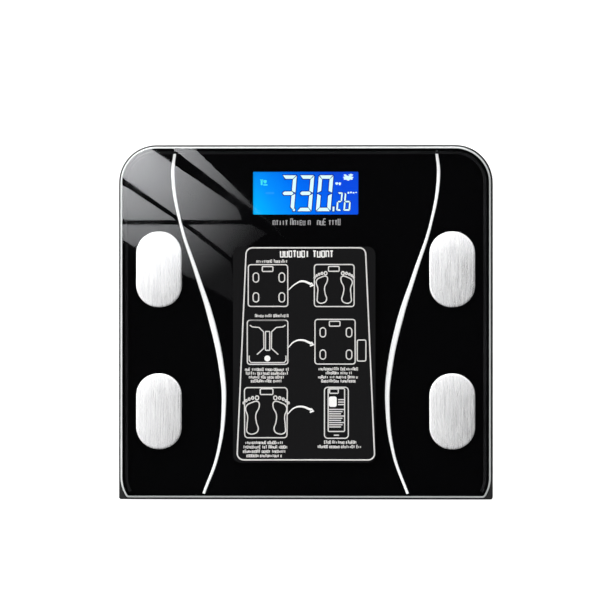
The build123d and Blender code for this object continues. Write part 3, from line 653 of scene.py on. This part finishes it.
# %% [markdown]
# Just inside the bevel the print carries a dark grey keyline, which is why the black looks
# framed. It follows the sides and the display end but not the straight front edge. It is one
# wide stroke of the pen along the same arcs as the plate's edge, on smaller radii.

# %% Keyline near the edge
KEYLINE_IN = 4.0
KEYLINE_WIDTH = 2.3


def keyline():
    """Points of an outline drawn in from the glass edge, open at the front."""
    side = glass_hi[0] / MM - KEYLINE_IN
    rear = glass_hi[1] / MM - KEYLINE_IN
    front = glass_lo[1] / MM + KEYLINE_IN
    r = GLASS_CORNER / MM - KEYLINE_IN
    sweep = math.asin((r - FRONT_SURPLUS / MM) / r)
    low = front - FRONT_SURPLUS / MM + r
    front_arc = [sweep * k / 5 for k in range(5, -1, -1)]
    rear_arc = [math.pi / 16 * k for k in range(9)]
    right = [(side - r + r * math.cos(a), low - r * math.sin(a)) for a in front_arc]
    right += [(side - r + r * math.cos(a), rear - r + r * math.sin(a)) for a in rear_arc]
    return right + [(-x, y) for x, y in reversed(right)]


edge_line = pen("edge_keyline", [(keyline(), False, False)], KEYLINE_WIDTH, print_level, edge_grey)
print("keyline", len(edge_line.data.polygons), "faces")

# %% [markdown]
# ## Digits on the display
# A seven-segment digit is seven separate electrodes in the liquid crystal, cut with slanted
# ends so that the gaps between them stay even. Each segment is drawn once, in a digit one unit
# high, and every digit picks the ones that are lit. The digits lean a few degrees to the
# right. A dark shadow lies below the pale segments, because the real crystal sits above its
# reflector: it is the same drawing again, a little larger.

# %% Segment shapes
SEGMENT_HIGH = 0.02 * MM
LEAN = 0.085


def bar_shapes(t, w):
    """Seven segments, t thick, of a digit that is one unit high and w wide, as outlines."""
    gap = 0.018
    half = t / 2
    mid = 0.5
    over, under = mid + half, mid - half
    return {
        "a": ((gap, 1), (w - gap, 1), (w - t, 1 - t), (t, 1 - t)),
        "b": ((w, 1 - gap), (w, mid + gap), (w - t, over + gap), (w - t, 1 - t - gap)),
        "c": ((w, mid - gap), (w, gap), (w - t, t + gap), (w - t, under - gap)),
        "d": ((w - gap, 0), (gap, 0), (t, t), (w - t, t)),
        "e": ((0, gap), (0, mid - gap), (t, under - gap), (t, t + gap)),
        "f": ((0, mid + gap), (0, 1 - gap), (t, 1 - t - gap), (t, over + gap)),
        "g": ((half, mid), (t, over), (w - t, over), (w - half, mid), (w - t, under), (t, under)),
    }


def thin_plates(outlines, level, high):
    """Closed plates from outlines in millimetres."""
    bm = bmesh.new()
    for outline in outlines:
        bm.faces.new([bm.verts.new((x * MM, y * MM, level)) for x, y in outline])
    thicken(bm, high)
    return bm


def flat_shapes(name, outlines, level, high, finish):
    """Flat marks on the display panel."""
    piece = keep(name, thin_plates(outlines, level, high), finish)
    return piece


def digit(lit, x, y, height, thick, wide, swell=0.0):
    """Outlines of a digit's lit segments, with its lower left corner at x, y."""
    outlines = []
    for segment in lit:
        shape = bar_shapes(thick, wide)[segment]
        cx = sum(u for u, v in shape) / len(shape)
        cy = sum(v for u, v in shape) / len(shape)
        placed = []
        for u, v in shape:
            u += math.copysign(swell, u - cx) if abs(u - cx) > 1e-6 else 0
            v += math.copysign(swell, v - cy) if abs(v - cy) > 1e-6 else 0
            placed.append((x + (u + LEAN * v) * height, y + v * height))
        outlines.append(placed)
    return outlines


# %% [markdown]
# The reading has three tall digits, a decimal tick and two small digits. Two small leaning
# boxes stand for the foot of the first digit and the tick, and the same function draws the
# pale segments and, swelled, their shadow.

# %% Lit segments
display_y = display_mid[1] / MM
READING = (("abgc", -18.4), ("abgcd", -6.2), ("abcdef", 7.1))
DIGIT_HIGH = 25.0
SMALL_HIGH = 12.8
DIGIT_FOOT = display_y - 12.6


def reading(swell):
    """Outlines of all that the display reads out, grown by a share of the digit's height."""
    shapes = []
    for lit, x in READING:
        shapes += digit(lit, x, DIGIT_FOOT, DIGIT_HIGH, 0.098, 0.405, swell)
    for lit, x, wide in (("abged", 21.2, 0.28), ("fgcde", 26.2, 0.36)):
        shapes += digit(lit, x, DIGIT_FOOT + 0.3, SMALL_HIGH, 0.085, wide, swell * 1.3)
    grow = swell * DIGIT_HIGH
    for x, y, w, h in ((-8.2, 0.9, 1.5, 1.6), (19.3, 1.6, 1.3, 3.2)):
        y += DIGIT_FOOT
        w, h = w / 2 + grow, h / 2 + grow
        lean = LEAN * h
        shapes.append(((x - w, y - h), (x + w, y - h), (x + w + lean, y + h), (x - w + lean, y + h)))
    return shapes


panel_top = panel_hi[2]
flat_shapes("reading_shadow", reading(0.024), panel_top, SEGMENT_HIGH, segment_shadow)
flat_shapes("reading_segments", reading(0.0), panel_top, 2 * SEGMENT_HIGH, segment_white)
print("reading drawn")

# %% [markdown]
# The small marks are drawn about the middle of the display. They are blobs and dashes, as the
# real icons are too small to read from standing height.

# %% Display icons
def on_display(x, y, points):
    """Move points to a place measured from the middle of the display."""
    return [(x + px, display_y + y + py) for px, py in points]


def round_blob(w, h, wave, lobes):
    """A wavy oval."""
    points = []
    for a in [math.tau * k / 40 for k in range(40)]:
        swing = wave * math.sin(lobes * a)
        points.append(((w / 2 + swing) * math.cos(a), (h / 2 + swing) * math.sin(a)))
    return points


def blobs(*places):
    """Wavy ovals at their places."""
    return [on_display(x, y, round_blob(w, h, wave, lobes)) for x, y, w, h, wave, lobes in places]


def tabs(*places):
    """Small boxes with round corners at their places."""
    return [on_display(x, y, round_box(0, 0, w, h, r)) for x, y, w, h, r in places]


corner_marks = blobs(
    (29.6, 10.6, 6.8, 3.4, 0.35, 7), (31.4, 12.6, 3.2, 1.3, 0.2, 5), (27.4, 12.4, 1.7, 1.5, 0.15, 3),
    (21.6, 6.7, 2.0, 1.7, 0.1, 3), (23.7, 6.5, 1.7, 2.0, 0.1, 3),
)
for k in range(4):
    corner_marks += tabs((29.8 + 1.75 * k, 0.2 + 0.25 * (k % 2), 1.2, 1.3 - 0.2 * k, 0.3))
tile = tabs((-30.6, 7.4, 1.3, 3.8, 0.4), (-28.0, 5.7, 3.0, 0.8, 0.3), (-30.6, 9.2, 2.4, 0.7, 0.3))
tile += blobs((-28.2, 8.0, 2.4, 2.4, 0.1, 3))
flat_shapes("corner_marks", corner_marks, panel_top, SEGMENT_HIGH, segment_white)
flat_shapes("left_tile", tile, panel_top, SEGMENT_HIGH, segment_cyan)
flat_shapes("faint_dash", tabs((-24.9, 0.0, 6.2, 1.5, 0.7)), panel_top, SEGMENT_HIGH, segment_faint)
print("icons drawn")

# %% [markdown]
# Words would name a maker and a language, so the scale has none. A handful of letter-like
# shapes, an arch, a cup, a box, a post, a tee and a comb, are set in word-like groups in no
# order. They keep the grey texture that print has from a distance and spell nothing. A fixed
# seed makes the groups the same on every run.

# %% Print without words
LETTER_SHAPES = (
    (((0, 0), (0, 1), (1, 1), (1, 0)),),
    (((0, 1), (0, 0), (1, 0), (1, 1)),),
    (((0, 0), (0, 1), (1, 1), (1, 0), (0, 0)),),
    (((0.5, 0), (0.5, 1)),),
    (((0, 1), (1, 1)), ((0.5, 0), (0.5, 1))),
    (((1, 1), (0, 1), (0, 0), (1, 0)), ((0, 0.5), (1, 0.5))),
)
LETTER_SHARE = 0.62
WORD_GAP = 0.7


def small_print(x0, x1, y, tall, pitch, seed, longest=8, heights=(0.7, 0.7, 1.0)):
    """Letter-like strokes in word-like groups between x0 and x1, about y."""
    draw = random.Random(seed)
    strokes = []
    x = x0
    letters_left = draw.randint(3, longest)
    while x < x1:
        if letters_left == 0:
            letters_left = draw.randint(3, longest)
            x += pitch * WORD_GAP
            continue
        high = tall * draw.choice(heights)
        for shape in draw.choice(LETTER_SHAPES):
            points = [(x + u * pitch * LETTER_SHARE, y - tall / 2 + v * high) for u, v in shape]
            strokes.append((points, False, False))
        letters_left -= 1
        x += pitch
    return strokes


# %% [markdown]
# Under the window a short grey line of print runs in three groups.

# %% Caption marks under the window
CAPTION_Y = display_y - 20.0
marks = []
for seed, (start, end) in enumerate(((-22.6, -12.8), (-10.4, 3.8), (8.2, 23.0))):
    marks += small_print(start, end, CAPTION_Y, 4.2, 2.15, seed, longest=12)
caption_marks = pen("caption_marks", marks, 0.75, print_level, caption_grey)
print("captions", len(marks), "marks")

# %% [markdown]
# ## The instruction card
# The card is a dark film with light line drawings: how to stand on the electrodes, how to
# pair with a telephone, and where the switch is. First comes its border, which widens
# towards the front. After it come the panels. Everything is laid out in millimetres from the
# centre of the card.

# %% Card layout helpers
card_x = (sticker_lo[0] + sticker_hi[0]) / 2 / MM
card_y = (sticker_lo[1] + sticker_hi[1]) / 2 / MM
CARD_INK_HIGH = 0.02 * MM


def on_card(strokes, x=0.0, y=0.0, flip=False):
    """Move strokes to a place on the card, mirrored left to right if asked."""
    side = -1 if flip else 1
    moved = []
    for points, closed, smooth in strokes:
        placed = [(card_x + x + side * p[0], card_y + y + p[1], *p[2:]) for p in points]
        moved.append((placed, closed, smooth))
    return moved


def card_ink(name, strokes, width, finish=card_line):
    """Line work on the card."""
    piece = pen(name, strokes, width, sticker_top, finish, height=CARD_INK_HIGH)
    return piece


def tapered_frame(top_y, bottom_y, top_half, bottom_half, r):
    """A border whose sides lean outwards towards the bottom, with round corners."""
    corners = ((1, 1, top_y, top_half), (-1, 1, top_y, top_half),
               (-1, -1, bottom_y, bottom_half), (1, -1, bottom_y, bottom_half))
    points = []
    for k, (sx, sy, y, half) in enumerate(corners):
        for turn in [math.pi / 2 * (k + step / 5) for step in range(6)]:
            points.append((sx * (half - r) + r * math.cos(turn), y - sy * r + r * math.sin(turn)))
    return points


border = [(tapered_frame(74.2, -73.1, 41.6, 47.7, 4.4), True, False)]
card_border = card_ink("card_border", on_card(border, 1.2), 0.95)
print("border", len(card_border.data.polygons), "faces")

# %% [markdown]
# Three things repeat on the card, so each has a function: the little platform seen from
# above, with its display and electrodes, a bare foot, and a curved arrow. The foot is a closed
# smooth outline with five toes beside it, and the other foot is its mirror image. An arrow
# swells towards its head.

# %% Repeated drawings
def box_stroke(cx, cy, w, h, r=1.0, taper=0.0):
    """A closed stroke round a box."""
    return (round_box(cx, cy, w, h, r, taper=taper), True, False)


def small_platform(cx, cy, w, h, taper=0.0):
    """Outline of the scale with its display window."""
    window = box_stroke(cx - 0.3, cy + h / 2 - 3.0, 7.4, 3.4, 0.7)
    return [box_stroke(cx, cy, w, h, 1.8, taper), window]


def small_electrodes(cx, cy, half_x, half_y):
    """Four rounded plates about a middle."""
    places = [(cx + sx * half_x, cy + sy * half_y) for sx in (-1, 1) for sy in (-1, 1)]
    return [box_stroke(x, y, 3.9, 6.4, 1.9) for x, y in places]


FOOT_SLIM = 0.8


def bare_foot(high):
    """Left foot standing on its heel at the origin, high millimetres long."""
    sole = ((-0.2, 0.02), (0.06, 0.0), (0.16, 0.1), (0.1, 0.3), (0.08, 0.5), (0.2, 0.76), (0.16, 0.86),
            (-0.06, 0.84), (-0.26, 0.72), (-0.2, 0.46), (-0.22, 0.2))
    toes = ((-0.33, 0.83, 0.022), (-0.25, 0.89, 0.024), (-0.15, 0.935, 0.026), (-0.03, 0.965, 0.03),
            (0.12, 0.97, 0.045))
    strokes = [([(x * FOOT_SLIM * high, y * high) for x, y in sole], True, True)]
    turns = [math.tau * k / 8 for k in range(8)]
    for x, y, r in toes:
        toe = [(x * FOOT_SLIM + r * math.cos(a), y + 1.2 * r * math.sin(a)) for a in turns]
        strokes.append(([(u * high, v * high) for u, v in toe], True, True))
    return strokes


def arrow(x0, y0, x1, y1, rise):
    """A curved arrow from one place to another, with its barbs."""
    reach = x1 - x0
    shaft = [(x0, y0, 0.55), (x0 + reach * 0.25, y0 + rise * 0.75, 0.8),
             (x0 + reach * 0.55, max(y0, y1) + rise * 0.55, 1.15), (x1 - 1.2, y1 + 0.7, 1.5)]
    barbs = [(x1 - 1.4, y1 + 1.9, 0.8), (x1, y1, 1.4), (x1 - 2.3, y1 - 0.9, 0.8)]
    return [(shaft, False, True), (barbs, False, False)]


# %% [markdown]
# The panels sit in two columns: platforms on the left, and what to do next on the right, with
# an arrow between them in each row.

# %% Card panels
PANEL_LINE = 0.8
light_lines = small_platform(-25.1, 48.0, 27.6, 29.0, 0.01) + small_electrodes(-24.5, 46.7, 9.0, 6.9)
light_lines += small_platform(20.9, 48.0, 27.6, 29.2)
light_lines += small_platform(21.5, 9.0, 27.9, 31.0) + small_electrodes(22.1, 7.8, 9.1, 7.7)
light_lines += [box_stroke(-25.4, 8.6, 28.2, 30.6, 1.8)]
light_lines += [box_stroke(-26.6, -40.3, 29.4, 34.8, 2.2, -0.015)]
light_lines += [box_stroke(-26.1, -25.7, 8.8, 4.0, 0.8), box_stroke(39.9, 2.9, 6.0, 14.6, 1.0)]
bold_lines = arrow(-10.8, 45.0, 6.2, 48.2, 5.0) + arrow(-11.1, 4.9, 6.4, 7.0, 5.6)
bold_lines += arrow(-11.5, -41.3, 6.4, -39.2, 5.6)
light_piece = card_ink("card_panels", on_card(light_lines), PANEL_LINE)
bold_piece = card_ink("card_arrows", on_card(bold_lines), 1.15, card_bold)
print("panels", len(light_piece.data.polygons), "arrows", len(bold_piece.data.polygons))

# %% [markdown]
# Two panels show a pair of feet, with their toes towards the display.

# %% Feet on the card
feet = []
for cx, cy, high, apart in ((20.9, 36.2, 21.0, 8.0), (-26.4, -54.6, 25.4, 8.8)):
    feet += on_card(bare_foot(high), cx - apart, cy)
    feet += on_card(bare_foot(high), cx + apart, cy, flip=True)
foot_piece = card_ink("card_feet", feet, PANEL_LINE)
print("feet", len(foot_piece.data.polygons), "faces")

# %% [markdown]
# One panel shows the scale from below, with the switch as a filled dot near its front. The
# last one shows a telephone with a list on its screen.

# %% Underside panel and telephone
UNDER_X, UNDER_Y = -25.4, 8.7
flange = ((-12.4, 11.8), (-10.6, 10.6), (-6.0, 10.2), (-2.8, 7.2), (-2.6, -4.2), (-7.4, -8.6))
under = [([(side * x, y) for x, y in flange], False, False) for side in (-1, 1)]
under += [box_stroke(0, 0.9, 3.0, 13.1, 0.5), ([(-12.4, 15.2), (12.4, 15.2)], False, False)]
tub = [(-12.8, -9.3), (-12.8, -12.7), (-11.5, -14.2)]
under += [(tub + [(-x, y) for x, y in reversed(tub)], False, False)]
phone = [box_stroke(22.4, -40.3, 16.6, 35.4, 2.2), box_stroke(22.4, -38.4, 11.4, 29.8, 0.8)]
phone += [box_stroke(20.7, -25.3, 6.0, 3.0, 0.6), ([(20.6, -55.9), (24.2, -55.9)], False, False)]
phone += [([(23.6, y), (27.6, y)], False, False) for y in (-31.2, -32.9, -34.6)]
for k in range(9):
    y = -38.0 - 1.52 * k
    phone.append(([(17.3, y), (27.6 - k % 3, y)], False, False))
panel_piece = card_ink("card_switch_and_phone", on_card(under, UNDER_X, UNDER_Y) + on_card(phone), 0.78)


def filled(name, outlines, finish):
    """Solid ink shapes on the card."""
    placed = [[(card_x + x, card_y + y) for x, y in outline] for outline in outlines]
    piece = keep(name, thin_plates(placed, sticker_top, CARD_INK_HIGH), finish)
    return piece


turns = [math.tau * k / 24 for k in range(24)]
dot = [(-25.6 + 2.1 * math.cos(a), -2.6 + 2.1 * math.sin(a)) for a in turns]
filled("card_solid_marks", [dot, round_box(19.9, -32.6, 5.4, 7.2, 1.4)], card_bold)
print("switch and telephone", len(panel_piece.data.polygons), "faces")

# %% [markdown]
# Each row of small print is given by where it starts and ends and by its height on the card.

# %% Small print on the card
ROWS = (
    (-33.0, -11.8, 64.9), (-34.0, -11.8, 27.1),
    (-40.9, -10.8, -10.2), (-40.6, -11.6, -12.9), (-38.2, -14.6, -15.5), (-36.9, -15.6, -18.2),
    (9.9, 37.2, -9.8), (14.8, 32.7, -12.6), (9.6, 37.4, -15.4), (12.1, 35.5, -18.2),
    (-40.9, -13.8, -61.0), (-42.2, -11.8, -64.1), (-42.4, -11.8, -67.1), (-40.0, -15.4, -70.1),
    (14.0, 35.4, -60.7), (9.4, 39.8, -63.8),
)
rows = []
for seed, (x0, x1, y) in enumerate(ROWS):
    rows += small_print(x0, x1, y, 1.85, 1.22, seed, longest=12)
row_piece = card_ink("card_small_print", on_card(rows), 0.56)
title = small_print(-16.4, 18.6, 69.9, 4.1, 2.95, 77, longest=14, heights=(1.0,))
title_piece = card_ink("card_title", on_card(title), 1.0, card_bold)
print("small print", len(row_piece.data.polygons), "title", len(title_piece.data.polygons))

# %% [markdown]
# ## The studio
# A product table: a white floor that stays white, a white room, and a camera high above the
# platform. The floor glows a little, so the shadow under the scale nearly vanishes, as it does
# on a light table.

# %% Floor
def plain_stage(name, points, emit, diffuse=0.0):
    """A flat studio surface with a colour and a glow."""
    material = bpy.data.materials.new(name)
    material.use_nodes = True
    shader = material.node_tree.nodes["Principled BSDF"]
    shader.inputs["Base Color"].default_value = (diffuse, diffuse, diffuse, 1)
    shader.inputs["Roughness"].default_value = 0.9
    shader.inputs["Specular IOR Level"].default_value = 0.0
    shader.inputs["Emission Color"].default_value = (1, 1, 1, 1)
    shader.inputs["Emission Strength"].default_value = emit
    bm = bmesh.new()
    bm.faces.new([bm.verts.new(point) for point in points])
    piece = keep(name, bm, material, body=None)
    return piece


FLOOR_HALF = 6.0
floor_z = cad_box[0][2] - 0.0005
signs = ((-1, -1), (1, -1), (1, 1), (-1, 1))
corners = [(sx * FLOOR_HALF, sy * FLOOR_HALF, floor_z) for sx, sy in signs]
floor = plain_stage("studio_floor", corners, emit=0.72, diffuse=0.8)
floor.visible_glossy = False
print("floor at", round(floor_z, 4))

# %% [markdown]
# The camera sees plain white behind the scale. Everything else sees a room whose light
# depends on the direction. Straight above is a dark patch, like the black flag that a studio
# hangs so that glass stays black. Round it is a bright card that is stronger towards the left
# and the rear, which gives the steel its fall of light. Low down, a bright wall on that same
# side picks out the rim.

# %% Room light
FLAG_INNER = math.cos(math.radians(4))
FLAG_OUTER = math.cos(math.radians(6.5))
FLAG_DARK = 0.01
CEILING_LIGHT = 0.8
WALL_LIGHT = 9.0
CAMERA_LEAN = math.radians(2.0)
CAMERA_AWAY = 4.0
world = bpy.data.worlds.new("studio_room")
bpy.context.scene.world = world
world.use_nodes = True
tree = world.node_tree
nodes, links = tree.nodes, tree.links
background = nodes["Background"]
background.inputs["Color"].default_value = (1, 1, 1, 1)


def soft_step(value, from_low, from_high, low, high):
    """From low to high, easing in and out, as the value runs over its range."""
    node = nodes.new("ShaderNodeMapRange")
    node.interpolation_type = "SMOOTHSTEP"
    numbers = {"From Min": from_low, "From Max": from_high, "To Min": low, "To Max": high}
    for name, number in numbers.items():
        node.inputs[name].default_value = number
    links.new(value, node.inputs["Value"])
    return node.outputs["Result"]


def blend_levels(share, first, second):
    """The first level where share is 0 and the second where it is 1."""
    rest = arithmetic(tree, "MULTIPLY", first, arithmetic(tree, "SUBTRACT", 1.0, share))
    return arithmetic(tree, "MULTIPLY_ADD", share, second, rest)


where = nodes.new("ShaderNodeTexCoord")
flag_way = Vector((-math.sin(CAMERA_LEAN), 0, math.cos(CAMERA_LEAN)))
side_way = Vector((-0.62, 0.78, 0)).normalized()


def along(direction):
    """How far the view direction runs along a fixed one, from -1 to 1."""
    node = nodes.new("ShaderNodeVectorMath")
    node.operation = "DOT_PRODUCT"
    node.inputs[1].default_value = direction
    links.new(where.outputs["Generated"], node.inputs[0])
    return node.outputs["Value"]


overhead = along(flag_way)
sideways = along(side_way)
flag = soft_step(overhead, FLAG_OUTER, FLAG_INNER, 1.0, FLAG_DARK)
high_card = soft_step(sideways, -0.09, 0.06, 0.2, 2.0)
near_top = arithmetic(tree, "MULTIPLY", flag, high_card)
ceiling = blend_levels(soft_step(overhead, 0.55, 0.75, 0.0, 1.0), CEILING_LIGHT, near_top)
wall = soft_step(sideways, 0.4, 0.62, 0.02, WALL_LIGHT)
room = blend_levels(soft_step(overhead, 0.36, 0.2, 0.0, 1.0), ceiling, wall)
path = nodes.new("ShaderNodeLightPath")
links.new(blend_levels(path.outputs["Is Camera Ray"], room, 1.0), background.inputs["Strength"])
print("room ready")

# %% [markdown]
# A window shows in the glass at the upper left, with its glazing bars. Each pane is a card
# hung a metre up that only reflections can see. A pane is planned on the glass, at the place
# where its reflection should lie, and the mirror rule gives the place of the card: the ray from
# the camera leaves the glass at the angle that it came in.

# %% Window panes
PANE_HIGH = 1.0
look_at = Vector((-3.8 * MM, 15.4 * MM, glass_top))
camera_at = look_at + CAMERA_AWAY * Vector((math.sin(CAMERA_LEAN), 0, math.cos(CAMERA_LEAN)))


def hang(x, y):
    """Where a card must hang to be mirrored at x, y millimetres on the glass."""
    reach = PANE_HIGH / (camera_at.z - glass_top)
    px, py = x * MM, y * MM
    return px + (px - camera_at.x) * reach, py + (py - camera_at.y) * reach, glass_top + PANE_HIGH


WINDOW_CORNER = (-127.0, 121.0)
WINDOW_FADE = 112.0
WINDOW_BRIGHT = 14.0


def pane_glow():
    """Brightest at the window's corner and fading away from it."""
    material = bpy.data.materials.new("window_glow")
    material.use_nodes = True
    tree = material.node_tree
    tree.nodes.remove(tree.nodes["Principled BSDF"])
    glow = tree.nodes.new("ShaderNodeEmission")
    place = tree.nodes.new("ShaderNodeTexCoord")
    away = tree.nodes.new("ShaderNodeVectorMath")
    away.operation = "DISTANCE"
    away.inputs[1].default_value = hang(*WINDOW_CORNER)
    tree.links.new(place.outputs["Object"], away.inputs[0])
    reach = WINDOW_FADE * MM * (1 + PANE_HIGH / (camera_at.z - glass_top))
    fade = arithmetic(tree, "POWER", spread(tree, away.outputs["Value"], 1.0, 0.0, 0.0, reach), 1.5)
    level = arithmetic(tree, "MULTIPLY_ADD", fade, WINDOW_BRIGHT, 0.2)
    tree.links.new(level, glow.inputs["Strength"])
    glow.inputs["Color"].default_value = (0.96, 0.97, 1.0, 1)
    tree.links.new(glow.outputs["Emission"], tree.nodes["Material Output"].inputs["Surface"])
    return material


PANES = {
    "pane_outer": ((-99.5, 126.0), (-82.5, 126.0), (-11.5, 55.5), (-21.5, 66.5)),
    "pane_upper": (
        (-132.0, 127.0), (-111.0, 123.0), (-47.5, 79.5), (-44.0, 71.0), (-85.5, 71.0), (-132.0, 104.0),
    ),
    "pane_middle": ((-81.0, 67.8), (-38.0, 67.8), (-27.0, 61.5), (-52.0, 45.0), (-60.0, 52.0)),
    "pane_left": ((-132.0, 98.5), (-90.0, 71.0), (-132.0, 71.0)),
    "pane_lower": ((-132.0, 67.8), (-85.5, 67.8), (-52.0, 41.5), (-47.0, 12.5), (-132.0, 60.0)),
}
window_glow = pane_glow()
for name, outline in PANES.items():
    bm = bmesh.new()
    bm.faces.new([bm.verts.new(hang(x, y)) for x, y in outline])
    pane = keep(name, bm, window_glow, body=None)
    pane.visible_camera = pane.visible_diffuse = False
    pane.visible_transmission = pane.visible_shadow = False
print(len(PANES), "window panes")

# %% [markdown]
# ## Camera
# A long lens from four metres up keeps the outline nearly square on. The camera leans two
# degrees to the right, so a little of the tray's right side shows.

# %% Camera
FRAME_WIDE = 416.7 * MM
camera_data = bpy.data.cameras.new("studio_camera")
camera_data.sensor_width = 36.0
camera_data.lens = camera_data.sensor_width * CAMERA_AWAY / FRAME_WIDE
camera_data.clip_end = 20.0
camera = bpy.data.objects.new("studio_camera", camera_data)
bpy.context.scene.collection.objects.link(camera)
back = (camera_at - look_at).normalized()
right = Vector((0, 1, 0)).cross(back).normalized()
up = back.cross(right)
turn = Matrix((right, up, back)).transposed().to_4x4()
camera.matrix_world = Matrix.Translation(camera_at) @ turn
bpy.context.scene.camera = camera
bpy.context.scene.view_settings.view_transform = "Standard"
print("lens", round(camera_data.lens, 1), "mm")
